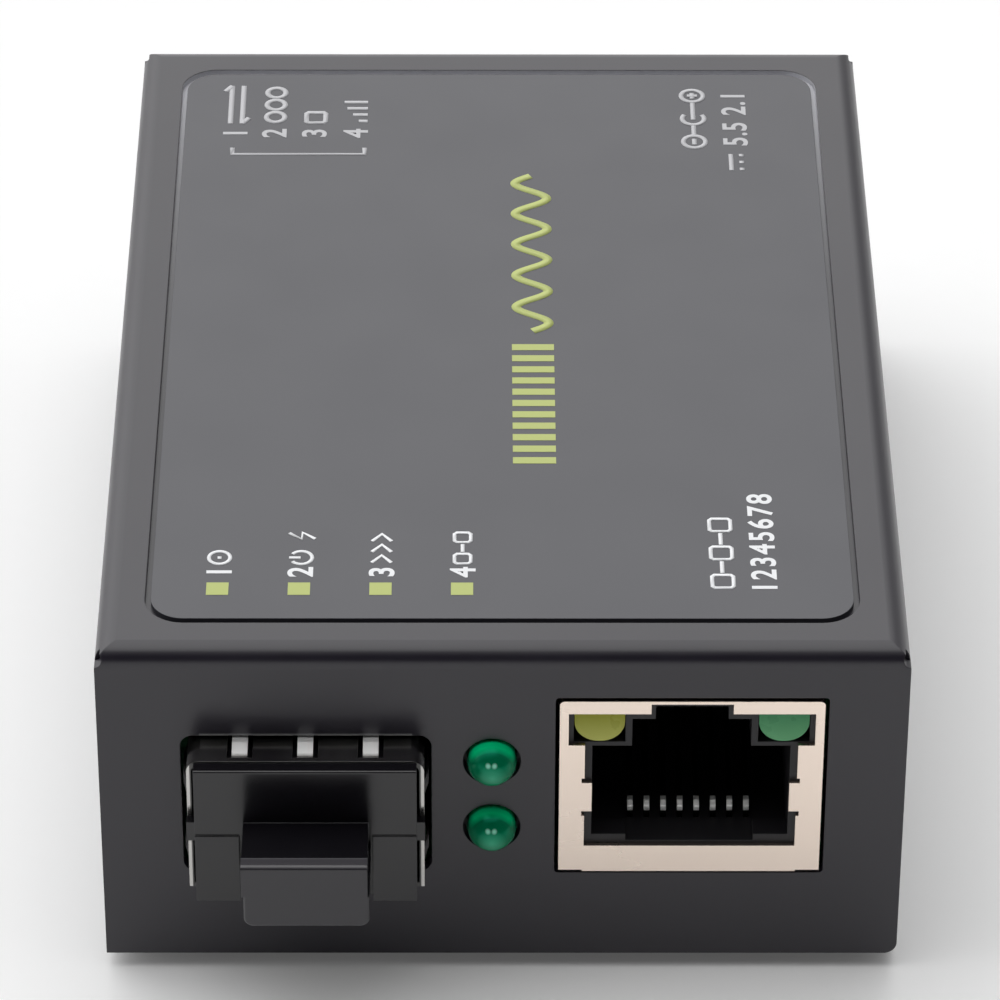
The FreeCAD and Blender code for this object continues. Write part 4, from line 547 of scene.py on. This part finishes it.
# %% [markdown]
# ## The board
# The board is glass fibre under green lacquer. Copper tracks lie under the lacquer and lift it by a hair.
# Real tracks would be hundreds of thin solids that nobody sees through the case, so a brick pattern turned
# into relief and a slightly lighter green stands for them.


# %% Board lacquer
def board_lacquer(track_pitch):
    """Green solder mask with tracks showing through."""
    material, tree, shader = start_material("board_lacquer")
    tracks = add_node(tree, "ShaderNodeTexBrick", Scale=1 / track_pitch, Mortar_Size=0.04, Row_Height=0.18)
    tree.links.new(object_space(tree), tracks.inputs["Vector"])
    weave = noise(tree, object_space(tree, (1, 0.3, 1)), 0.5 * mm)
    green = blend_colours(tree, weave, (0.010, 0.085, 0.030), (0.014, 0.105, 0.040))
    track = blend_colours(tree, tracks.outputs["Fac"], green, (0.030, 0.160, 0.070))
    tree.links.new(track, shader.inputs["Base Color"])
    tree.links.new(spread(tree, weave, 0.22, 0.34), shader.inputs["Roughness"])
    rough_up(tree, shader, tracks.outputs["Fac"], 0.03 * mm, 0.5)
    return material


dress(board_lacquer(6 * mm), "circuit_board")

# %% [markdown]
# ## Parts on the board
# Chips are moulded in black epoxy with a dull skin, the inductor is sintered ferrite, and the crystal and
# the capacitors have drawn cans, whose fine lines run upright. The common recipe makes all three.

# %% Epoxy, ferrite and drawn cans
epoxy = finish("chip_epoxy", (0.017, 0.017, 0.018), (0.024, 0.024, 0.025), (0.5, 0.62), 0.1 * mm, 0.012 * mm)
dress(epoxy, "converter_chip", "memory_chip", "regulator_chip", "magnetics_module")
ferrite = finish("ferrite", (0.030, 0.030, 0.032), (0.045, 0.045, 0.047), (0.5, 0.65), 0.2 * mm, 0.02 * mm)
dress(ferrite, "power_inductor")
drawn_can = finish("drawn_can", (0.66, 0.66, 0.67), (0.74, 0.74, 0.75), (0.24, 0.34), 0.1 * mm, 0.006 * mm,
                   metallic=1.0, stretch=(1, 1, 0.05))
dress(drawn_can, "crystal_can", "capacitor")

# %% [markdown]
# ## Growing repeated pieces
# Marks on the label and legs on the chips repeat along a line. Copying them by hand would work, but a small
# geometry tree keeps the rule in one place, with its sizes as named inputs. These helpers open a tree, link
# its nodes, and close it with real geometry that has its material.


# %% Geometry trees
def geometry_tree(name, **sizes):
    """An empty geometry tree with named inputs. A whole number makes a counting input."""
    tree = bpy.data.node_groups.new(name, "GeometryNodeTree")
    tree.interface.new_socket("Geometry", in_out="INPUT", socket_type="NodeSocketGeometry")
    kinds = {int: "NodeSocketInt", float: "NodeSocketFloat", tuple: "NodeSocketVector"}
    for label, value in sizes.items():
        kind = kinds.get(type(value), "NodeSocketMaterial")
        socket = tree.interface.new_socket(label.replace("_", " "), in_out="INPUT", socket_type=kind)
        socket.default_value = value
    tree.interface.new_socket("Geometry", in_out="OUTPUT", socket_type="NodeSocketGeometry")
    return tree, tree.nodes.new("NodeGroupInput"), tree.nodes.new("NodeGroupOutput")


def chain(tree, *pairs):
    """Links pairs of sockets."""
    for source, target in pairs:
        tree.links.new(source, target)


def close_tree(tree, source, given, output):
    """The end of every tree: real geometry with its material. Gives the tree back."""
    realize = tree.nodes.new("GeometryNodeRealizeInstances")
    paint = tree.nodes.new("GeometryNodeSetMaterial")
    chain(tree, (source, realize.inputs[0]), (realize.outputs[0], paint.inputs["Geometry"]),
          (given.outputs["Material"], paint.inputs["Material"]), (paint.outputs[0], output.inputs[0]))
    return tree


print("geometry kit: geometry_tree, chain, close_tree")

# %% [markdown]
# ## From a tree to a plain mesh
# Instances and live modifiers don't leave the program with the model. So each tree runs once on a helper
# object, its result is copied into a plain mesh, and the helper goes. The mesh then rides on its body.


# %% Run once and keep
def keep(name, mesh):
    """Puts a finished mesh in the scene, on the case."""
    piece = bpy.data.objects.new(name, mesh)
    bpy.context.scene.collection.objects.link(piece)
    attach(piece, "case")
    print(name, "polygons:", len(mesh.polygons))
    return piece


def plain_mesh(maker):
    """The evaluated shape of a helper object, which goes afterwards."""
    mesh = bpy.data.meshes.new_from_object(maker.evaluated_get(bpy.context.evaluated_depsgraph_get()))
    bpy.data.objects.remove(maker)
    return mesh


def grow(name, tree, slot, start=None, **values):
    """Runs a tree once, on a start mesh or an empty one, with values for its named inputs."""
    start = bpy.data.meshes.new(name + "_start") if start is None else start
    maker = bpy.data.objects.new(name + "_maker", start)
    bpy.context.scene.collection.objects.link(maker)
    modifier = maker.modifiers.new("grow", "NODES")
    modifier.node_group = tree
    for item in tree.interface.items_tree:
        label = item.name.replace(" ", "_")
        if item.in_out == "INPUT" and label in values:
            modifier[item.identifier] = values[label]
    return keep(name, plain_mesh(maker))


print("growing kit: keep, plain_mesh, grow")

# %% [markdown]
# ## Print on the film
# The film carries a lime mark, a white number and a sign for each lamp, a large lime pattern along the
# middle, grey numbers and signs for the mode switches and the power inlet, and a sign and plain numbers for
# the network jack. Ink could be painted in the shader, but thin raised shapes keep a crisp edge at any
# distance, as screen print does. All of it is placed from the front left corner of the film.


# %% Inks and the layout's origin
def ink(name, colour, second):
    """Screen ink: matt, even, with the faintest clouds."""
    return finish(name, colour, second, (0.42, 0.52), 0.06 * mm, 0.004 * mm, edge=0.01 * mm, cloud=1.5 * mm)


lime_ink = ink("lime_ink", (0.44, 0.50, 0.145), (0.48, 0.54, 0.165))
white_ink = ink("white_ink", (0.80, 0.81, 0.83), (0.86, 0.87, 0.89))
grey_ink = ink("grey_ink", (0.50, 0.50, 0.52), (0.54, 0.54, 0.56))
INK = 0.012 * mm                # thickness of the print
ink_level = film_high.z + INK / 2


def on_film(across, along):
    """A point on the film, from its front left corner, in millimetres."""
    return Vector((film_low.x + across * mm, film_low.y + along * mm, ink_level))


print("the print is centred", round(ink_level / mm, 3), "mm above the floor")

# %% [markdown]
# ## Marks in a row
# A lamp mark, a pulse and a chip's leg are all one thing: a block, repeated along a line at an even step.
# An array modifier could do it, but this tree takes the first place, the step and the size as inputs, and
# serves all three.


# %% Row of blocks
def row_tree(material):
    """Blocks in a row, from the place of the first, with an even step."""
    tree, given, output = geometry_tree("row_of_marks", Count=4, First=(0.0, 0.0, 0.0), Step=(mm, 0.0, 0.0),
                                        Size=(mm, mm, INK), Material=material)
    line = add_node(tree, "GeometryNodeMeshLine")
    block = add_node(tree, "GeometryNodeMeshCube")
    place = add_node(tree, "GeometryNodeInstanceOnPoints")
    chain(tree, (given.outputs["Count"], line.inputs["Count"]),
          (given.outputs["First"], line.inputs["Start Location"]),
          (given.outputs["Step"], line.inputs["Offset"]), (given.outputs["Size"], block.inputs["Size"]),
          (line.outputs[0], place.inputs["Points"]), (block.outputs[0], place.inputs["Instance"]))
    return close_tree(tree, place.outputs[0], given, output)


marks = row_tree(lime_ink)
MARK_ACROSS, MARK_ALONG, MARK_STEP = 3.99, 2.98, 4.95
grow("lamp_marks", marks, "label_film", Count=4, First=on_film(MARK_ACROSS, MARK_ALONG),
     Step=(MARK_STEP * mm, 0, 0), Size=(1.35 * mm, 1.25 * mm, INK), Material=lime_ink)

# %% [markdown]
# ## Pulses along the middle
# A large lime pattern runs along the film: electric pulses from the network side, which turn into the wave
# of light that leaves by the fibre. The pulses are the same row again, with its step along the film.

# %% Row of pulses
BAND_MIDDLE, BAND_START, BAND_TALL = 23.35, 16.4, 2.7
PULSES, PULSE_STEP, PULSE_WIDE = 11, 1.25, 0.68
grow("pulse_marks", marks, "label_film", Count=PULSES, First=on_film(BAND_MIDDLE, BAND_START),
     Step=(0, PULSE_STEP * mm, 0), Size=(BAND_TALL * mm, PULSE_WIDE * mm, INK), Material=lime_ink)

# %% [markdown]
# ## The wave
# The wave is a flat ribbon that swings from side to side by a sine. Its path is a straight line whose
# points are moved by a formula, and a flat section is swept along it. The swing, the number of waves and
# the ribbon's width are inputs, so the wave can be tuned without touching a point.


# %% Wavy ribbon
def wave_tree(material):
    """A ribbon along Y that swings from side to side, as light in a fibre is drawn."""
    tree, given, output = geometry_tree("wavy_ribbon", Start=(0.0, 0.0, 0.0), Length=10 * mm, Swing=mm,
                                        Waves=3.0, Ribbon=0.5 * mm, Thickness=INK, Material=material)
    path = add_node(tree, "GeometryNodeCurvePrimitiveLine", mode="DIRECTION", Direction=(0, 1, 0))
    fine = add_node(tree, "GeometryNodeResampleCurve", Count=160)
    along = add_node(tree, "GeometryNodeSplineParameter")
    swing = add_node(tree, "ShaderNodeMath", operation="SINE")
    offset = add_node(tree, "ShaderNodeCombineXYZ")
    move = add_node(tree, "GeometryNodeSetPosition")
    turns = multiply(tree, along.outputs["Factor"], given.outputs["Waves"])
    angle = add_node(tree, "ShaderNodeMath", operation="MULTIPLY")
    angle.inputs[1].default_value = 2 * pi
    section = add_node(tree, "GeometryNodeCurvePrimitiveQuadrilateral")
    sweep = add_node(tree, "GeometryNodeCurveToMesh", Fill_Caps=True)
    chain(tree, (given.outputs["Start"], path.inputs["Start"]),
          (given.outputs["Length"], path.inputs["Length"]),
          (path.outputs[0], fine.inputs["Curve"]), (turns, angle.inputs[0]),
          (angle.outputs[0], swing.inputs[0]),
          (multiply(tree, swing.outputs[0], given.outputs["Swing"]), offset.inputs["X"]),
          (fine.outputs[0], move.inputs["Geometry"]), (offset.outputs[0], move.inputs["Offset"]),
          (given.outputs["Ribbon"], section.inputs["Width"]),
          (given.outputs["Thickness"], section.inputs["Height"]),
          (move.outputs[0], sweep.inputs["Curve"]), (section.outputs[0], sweep.inputs["Profile Curve"]))
    return close_tree(tree, sweep.outputs[0], given, output)


WAVE_GAP = 0.6                  # between the last pulse's step and the wave, in millimetres
wave_start = BAND_START + PULSES * PULSE_STEP + WAVE_GAP
grow("wave_mark", wave_tree(lime_ink), "label_film", Start=on_film(BAND_MIDDLE, wave_start),
     Length=18.4 * mm, Swing=(BAND_TALL - 0.6) / 2 * mm, Waves=5.0, Ribbon=0.62 * mm, Thickness=INK,
     Material=lime_ink)

# %% [markdown]
# ## Numbers
# Each lamp and each mode switch has its plain number, and the jack the numbers of its eight contacts. A
# text object gives good digits. It is made a mesh first and then turned and moved, because a finished piece
# keeps its place in its mesh.

# %% Plain numbers
DIGIT_SHARE = 0.7               # a digit's height as a share of the type size
BOLDER = 0.045 * mm             # outlines moved outwards by this


def number(name, text, across, along, height, material, spacing=1.0):
    """Plain digits that read from the front towards the rear, with their foot line on the right."""
    words = bpy.data.curves.new(name, "FONT")
    words.body = text
    words.size = height / DIGIT_SHARE * mm
    words.space_character = spacing
    words.extrude = INK / 2
    words.offset = BOLDER
    maker = bpy.data.objects.new(name + "_maker", words)
    bpy.context.scene.collection.objects.link(maker)
    mesh = plain_mesh(maker)
    mesh.transform(Matrix.Translation(on_film(across, along)) @ Matrix.Rotation(radians(90), 4, "Z"))
    mesh.materials.clear()
    mesh.materials.append(material)
    return keep(name, mesh)


LAMP_COLUMNS = [MARK_ACROSS + i * MARK_STEP + 0.78 for i in range(4)]
SWITCH_COLUMNS = [left + 0.8 for left in (3.4, 6.05, 8.75, 11.55)]
for i in range(4):
    number("lamp_number_%d" % (i + 1), str(i + 1), LAMP_COLUMNS[i], 4.15, 1.5, white_ink)
    number("switch_number_%d" % (i + 1), str(i + 1), SWITCH_COLUMNS[i], 53.9, 1.6, grey_ink)
number("contact_numbers", "12345678", 37.95, 2.6, 1.5, white_ink, spacing=1.22)
number("inlet_numbers", "5.5 2.1", 38.0, 52.9, 1.6, grey_ink, spacing=1.1)

# %% [markdown]
# ## A pen for signs
# The signs are line drawings. Each could be modelled face by face, but it is easier to give its lines as
# points and let one tree turn every line into a flat ribbon, as a plotter's pen would. The ribbons are told
# to stay flat, and lines that cross lie a hair above each other, because two faces in one plane flicker.

# %% Strokes
LIFT = 0.0015 * mm              # from one line of a sign to the next


def stroke_tree(material):
    """Turns the edges of a mesh into flat ribbons, the way a plotter pen draws a sign."""
    tree, given, output = geometry_tree("flat_strokes", Ribbon=0.3 * mm, Thickness=INK, Material=material)
    pen = add_node(tree, "GeometryNodeMeshToCurve")
    level = add_node(tree, "GeometryNodeSetCurveNormal", mode="Z_UP")
    section = add_node(tree, "GeometryNodeCurvePrimitiveQuadrilateral")
    sweep = add_node(tree, "GeometryNodeCurveToMesh", Fill_Caps=True)
    chain(tree, (given.outputs["Geometry"], pen.inputs["Mesh"]),
          (given.outputs["Ribbon"], section.inputs["Width"]),
          (given.outputs["Thickness"], section.inputs["Height"]), (pen.outputs[0], level.inputs["Curve"]),
          (level.outputs[0], sweep.inputs["Curve"]), (section.outputs[0], sweep.inputs["Profile Curve"]))
    return close_tree(tree, sweep.outputs[0], given, output)


pen_tree = stroke_tree(white_ink)


def draw(name, signs, ribbon, material):
    """Draws signs in one piece. A sign is its place on the film and its lines, read from front to rear."""
    corners, edges = [], []
    for across, along, lines in signs:
        for layer, line in enumerate(lines):
            lift = Vector((0, 0, LIFT * layer))
            closed = line[0] == line[-1]
            first, count = len(corners), len(line) - closed
            corners += [on_film(across - y, along + x) + lift for x, y in line[:count]]
            edges += [(first + i, first + (i + 1) % count) for i in range(count if closed else count - 1)]
    start = bpy.data.meshes.new(name + "_lines")
    start.from_pydata(corners, edges, [])
    return grow(name, pen_tree, "label_film", start=start, Ribbon=ribbon * mm, Thickness=INK,
                Material=material)


print("strokes of one sign are lifted by", LIFT / mm, "mm each")

# %% [markdown]
# ## Round and square lines
# Two shapes come again and again in the signs: a circle or a part of one, and a square with clipped
# corners. A closed line ends on its first point, which tells the pen to join its ends.


# %% Circle and square
def round_line(x, y, radius, first=0, last=360, count=24):
    """Points along a circle or a part of one, in degrees."""
    turns = [radians(first + (last - first) * i / count) for i in range(count + 1)]
    points = [(x + radius * cos(t), y + radius * sin(t)) for t in turns]
    return points if last - first < 360 else points[:-1] + points[:1]


def square(x, y, side, cut=0.16):
    """A square with clipped corners, from its lower left corner."""
    rest = side - cut
    points = [(cut, 0), (rest, 0), (side, cut), (side, rest), (rest, side), (cut, side), (0, rest), (0, cut),
              (cut, 0)]
    return [(x + dx, y + dy) for dx, dy in points]


print("a circle has", len(round_line(0, 0, 1)) - 1, "sides and a square", len(square(0, 0, 1)) - 1)

# %% [markdown]
# ## Signs for the lamps and the jack
# The four lamps get a general sign each: light, power, speed and link. The jack gets three linked boxes.
# They are plain signs that stand for a purpose, and no maker's. Each line below is a list of points in
# millimetres.

# %% Lamp and network signs
light_sign = [round_line(0.8, 0.75, 0.65), [(0.68, 0.75), (0.92, 0.75)]]
power_sign = [round_line(0.8, 0.70, 0.66, 125, 415), [(0.8, 0.75), (0.8, 1.45)],
              [(3.35, 1.5), (2.70, 0.72), (3.40, 0.68), (2.75, -0.1)]]
speed_sign = [[(x, 1.35), (x + 0.75, 0.75), (x, 0.15)] for x in (0.3, 1.4, 2.5)]
link_sign = [square(0.2, 0.25, 1.0), square(2.4, 0.25, 1.0), [(1.4, 0.75), (2.2, 0.75)]]
lamp_lines = (light_sign, power_sign, speed_sign, link_sign)
draw("lamp_signs", [(column, 5.35, lines) for column, lines in zip(LAMP_COLUMNS, lamp_lines)], 0.24,
     white_ink)
network_sign = [square(x, 0.1, 1.3) for x in (0.1, 3.0, 5.9)]
network_sign += [[(1.6, 0.75), (2.8, 0.75)], [(4.5, 0.75), (5.7, 0.75)]]
draw("network_sign", [(35.45, 3.0, network_sign)], 0.26, white_ink)

# %% [markdown]
# ## Signs for the mode switches
# Each of the four levers has a sign beside its number: opposed arrows, three rings, a hollow square and
# rising bars. A bracket holds the four together. They are printed greyer than the front's, like all of the
# rear.

# %% Switch signs and bracket
opposed = [[(0.4, 1.15), (5.2, 1.15)], [(4.5, 1.6), (5.2, 1.15)],
           [(5.2, 0.35), (0.4, 0.35)], [(1.1, -0.1), (0.4, 0.35)]]
rings = [round_line(1.2 + i * 1.55, 0.75, 0.62) for i in range(3)]
hollow = [square(0.5, 0.05, 1.3)]
bars = [[(x, 0.0), (x, tall)] for x, tall in ((0.7, 0.6), (1.5, 1.0), (2.3, 1.4), (3.1, 1.6))]
switch_lines = (opposed, rings, hollow, bars)
draw("switch_signs", [(column, 55.3, lines) for column, lines in zip(SWITCH_COLUMNS, switch_lines)], 0.36,
     grey_ink)
draw("switch_bracket", [(3.3, 51.85, [[(0.8, 0), (0, 0), (0, -8.9), (0.8, -8.9)]])], 0.34, grey_ink)

# %% [markdown]
# ## Signs for the power inlet
# The inlet has the general sign for polarity, a dot in a cup between plus and minus, and the general sign
# for direct current: a full line over a broken one.

# %% Polarity and direct current
polarity = [round_line(0.85, 0.75, 0.75), [(0.5, 0.75), (1.2, 0.75)], [(1.7, 0.75), (2.9, 0.75)],
            round_line(3.75, 0.75, 0.75, 50, 310), [(3.62, 0.75), (5.8, 0.75)],
            round_line(6.65, 0.75, 0.75), [(6.3, 0.75), (7.0, 0.75)], [(6.65, 0.4), (6.65, 1.1)]]
direct = [[(0.0, 1.15), (2.0, 1.15)]] + [[(x, 0.45), (x + 0.3, 0.45)] for x in (0.0, 0.85, 1.7)]
draw("inlet_sign", [(35.2, 52.6, polarity), (38.0, 49.9, direct)], 0.32, grey_ink)

# %% [markdown]
# ## Legs of the chips
# The packages on the board are plain blocks until they get their legs. The row tree makes them all: a leg
# is a small tin block with its foot on the board, and a chip has a row of them on two or four of its sides.

# %% Leg rows
LEG_REACH, LEG_RISE, LEG_DEEP = 0.42 * mm, 0.55 * mm, 0.25 * mm
WAYS = {"minus_x": (0, -1), "plus_x": (0, 1), "minus_y": (1, -1), "plus_y": (1, 1)}
board_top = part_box("circuit_board")[1].z


def leg_row(chip, side, count, pitch, width):
    """A row of legs on one side of a chip."""
    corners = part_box(chip)
    middle = (corners[0] + corners[1]) / 2
    axis, way = WAYS[side]
    first = Vector((middle.x, middle.y, board_top + LEG_RISE / 2))
    first[axis] = corners[way > 0][axis] + way * (LEG_REACH - LEG_DEEP) / 2
    first[1 - axis] -= (count - 1) * pitch / 2 * mm
    step, size = Vector((0, 0, 0)), Vector((0, 0, LEG_RISE))
    step[1 - axis], size[1 - axis], size[axis] = pitch * mm, width * mm, LEG_REACH + LEG_DEEP
    grow("%s_legs_%s" % (chip, side), marks, "lead_tin", Count=count, First=first, Step=step, Size=size,
         Material=lead_tin)


for side in ("minus_x", "plus_x", "minus_y", "plus_y"):
    leg_row("converter_chip", side, 11, 0.8, 0.35)
for side in ("minus_x", "plus_x"):
    leg_row("memory_chip", side, 4, 1.05, 0.42)
    leg_row("regulator_chip", side, 1, 1.0, 1.6)
for side in ("minus_y", "plus_y"):
    leg_row("magnetics_module", side, 8, 1.6, 0.5)

# %% [markdown]
# ## The studio floor
# A plain pale floor, like a sheet of paper, shows the object's shadow and is what its front mirrors. Where
# only the eye sees it, a little light of its own lifts it towards white. That light doesn't fall on the
# object.


# %% Paper floor
def floor_finish():
    """White paper with a faint tooth. What the camera sees is lifted a little towards white."""
    material, tree, shader = start_material("studio_paper")
    tooth = noise(tree, object_space(tree), 2 * mm)
    tint = blend_colours(tree, tooth, (0.90, 0.90, 0.90), (0.92, 0.92, 0.92))
    shader.inputs["Specular IOR Level"].default_value = 0.1
    shine = add_node(tree, "ShaderNodeEmission", Strength=0.08)
    both = add_node(tree, "ShaderNodeAddShader")
    seen = add_node(tree, "ShaderNodeLightPath")
    gate = add_node(tree, "ShaderNodeMixShader")
    surface = tree.nodes["Material Output"].inputs["Surface"]
    chain(tree, (tint, shader.inputs["Base Color"]),
          (spread(tree, tooth, 0.8, 0.95), shader.inputs["Roughness"]),
          (shader.outputs[0], both.inputs[0]), (shine.outputs[0], both.inputs[1]),
          (seen.outputs["Is Camera Ray"], gate.inputs[0]), (shader.outputs[0], gate.inputs[1]),
          (both.outputs[0], gate.inputs[2]), (gate.outputs[0], surface))
    return material


def lay_floor(reach):
    """A square of paper at the level of the feet."""
    mesh = bpy.data.meshes.new("studio_floor")
    mesh.from_pydata([(-reach, -reach, 0), (reach, -reach, 0), (reach, reach, 0), (-reach, reach, 0)], [],
                     [(0, 1, 2, 3)])
    mesh.materials.append(floor_finish())
    floor = bpy.data.objects.new("studio_floor", mesh)
    bpy.context.scene.collection.objects.link(floor)
    print("floor:", 2 * reach, "m square")


lay_floor(3.0)

# %% [markdown]
# ## Light from the room
# Product pictures of dark things are lit from behind and above: the top mirrors the bright side, the front
# mirrors the pale floor, and the fold between them mirrors the dark side of the room and stands out as a
# line. Three patterns on the world do it: how far a direction points to the bright side, a soft end of that
# light at one side, and a white band along the horizon that only mirrors see. To the eye the world is plain
# white.

# %% World
LIGHT_SIDE = (0.0, 0.94, 0.34)      # the big soft light stands behind and reaches over the top
LIGHT_END = (0.15, 0.45)            # it ends a little to the right of the object, with a soft edge
BAND_FADE = (0.03, 0.32)            # heights between which the white band of the horizon fades
DUSK, DAWN = -0.30, 0.20            # from the dark side of the room to the bright one


def studio_world(dark, bright, dim):
    """White to the eye and along the horizon. As a light it is bright behind and above, dark in front."""
    world = bpy.data.worlds.new("studio_world")
    world.use_nodes = True
    tree = world.node_tree
    back = tree.nodes["Background"]
    back.inputs["Color"].default_value = (1, 1, 1, 1)
    place = add_node(tree, "ShaderNodeTexCoord")
    split = add_node(tree, "ShaderNodeSeparateXYZ")
    side = add_node(tree, "ShaderNodeVectorMath", operation="DOT_PRODUCT")
    side.inputs[1].default_value = LIGHT_SIDE
    sky = add_node(tree, "ShaderNodeMapRange", interpolation_type="SMOOTHSTEP")
    for socket, value in zip(RANGE_SOCKETS, (DUSK, DAWN, dark, bright)):
        sky.inputs[socket].default_value = value
    chain(tree, (place.outputs["Generated"], split.inputs[0]), (place.outputs["Generated"], side.inputs[0]),
          (side.outputs["Value"], sky.inputs["Value"]))
    light = multiply(tree, sky.outputs[0], spread(tree, split.outputs["X"], 1, dim, *LIGHT_END))
    horizon = multiply(tree, spread(tree, split.outputs["Z"], 1, 0, *BAND_FADE),
                       spread(tree, split.outputs["X"], 1, 0, *LIGHT_END))
    path = add_node(tree, "ShaderNodeLightPath")
    mirrored = add_node(tree, "ShaderNodeMath", operation="MAXIMUM")
    shown = add_node(tree, "ShaderNodeMath", operation="MAXIMUM")
    level = add_node(tree, "ShaderNodeMix", data_type="FLOAT")
    level.inputs[NUMBER_B].default_value = 1.0
    chain(tree, (path.outputs["Is Glossy Ray"], mirrored.inputs[0]),
          (path.outputs["Is Transmission Ray"], mirrored.inputs[1]),
          (path.outputs["Is Camera Ray"], shown.inputs[0]),
          (multiply(tree, mirrored.outputs[0], horizon), shown.inputs[1]),
          (shown.outputs[0], level.inputs["Factor"]), (light, level.inputs[NUMBER_A]),
          (level.outputs[NUMBER_MIXED], back.inputs["Strength"]))
    bpy.context.scene.world = world


studio_world(dark=0.02, bright=1.72, dim=0.3)
print("the room's light goes from 0.02 in front to 1.72 behind")

# %% [markdown]
# ## A lamp overhead
# One large soft box hangs above the object and looks at it. It is weak, and only softens the shadows that
# the room's light leaves. An area lamp fits, because its size alone sets how soft they are.


# %% Soft box
def soft_light(name, place, size, power):
    """A square soft box that looks at the object."""
    lamp = bpy.data.lights.new(name, "AREA")
    lamp.size = size
    lamp.energy = power
    box = bpy.data.objects.new(name, lamp)
    box.location = place
    box.rotation_euler = (Vector((0, 0, 0)) - Vector(place)).to_track_quat("-Z", "Y").to_euler()
    bpy.context.scene.collection.objects.link(box)
    print(name, "is", size, "m wide and gives", power, "W")


soft_light("top_box", (0.0, 0.02, 0.60), 0.60, 0.35)

# %% [markdown]
# ## The camera
# A long lens looks down on the front edge from over a third of a metre away, which keeps the verticals
# nearly parallel. Its place is measured from the cover's front and lower edge. Its directions are built by
# hand from three angles, each of which can be tuned alone, where a rotation in one piece would mix them.

# %% Camera
FOCAL, SHIFT = 215.7, -0.0078
LOOK_DOWN, TURN, TILT = 0.6252, 0.006, 0.0041
cover_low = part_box("top_cover")[0]
camera_place = Vector((-1.92 * mm, cover_low.y - 284.88 * mm, cover_low.z + 240.89 * mm))


def look(place, down, turn, tilt, focal, shift):
    """A long lens that looks along +Y, turned down, with a very small turn and tilt."""
    forward = Vector((sin(turn) * cos(down), cos(turn) * cos(down), -sin(down)))
    level_right = Vector((cos(turn), -sin(turn), 0))
    level_up = level_right.cross(forward)
    right = cos(tilt) * level_right + sin(tilt) * level_up
    up = cos(tilt) * level_up - sin(tilt) * level_right
    lens = bpy.data.cameras.new("studio_camera")
    lens.lens = focal
    lens.shift_y = shift
    camera = bpy.data.objects.new("studio_camera", lens)
    turned = Matrix((right, up, -forward)).transposed().to_4x4()
    camera.matrix_world = Matrix.Translation(place) @ turned
    bpy.context.scene.collection.objects.link(camera)
    bpy.context.scene.camera = camera


look(camera_place, LOOK_DOWN, TURN, TILT, FOCAL, SHIFT)
bpy.context.scene.view_settings.view_transform = "Standard"
print("camera at", [round(v, 3) for v in camera_place], "m")
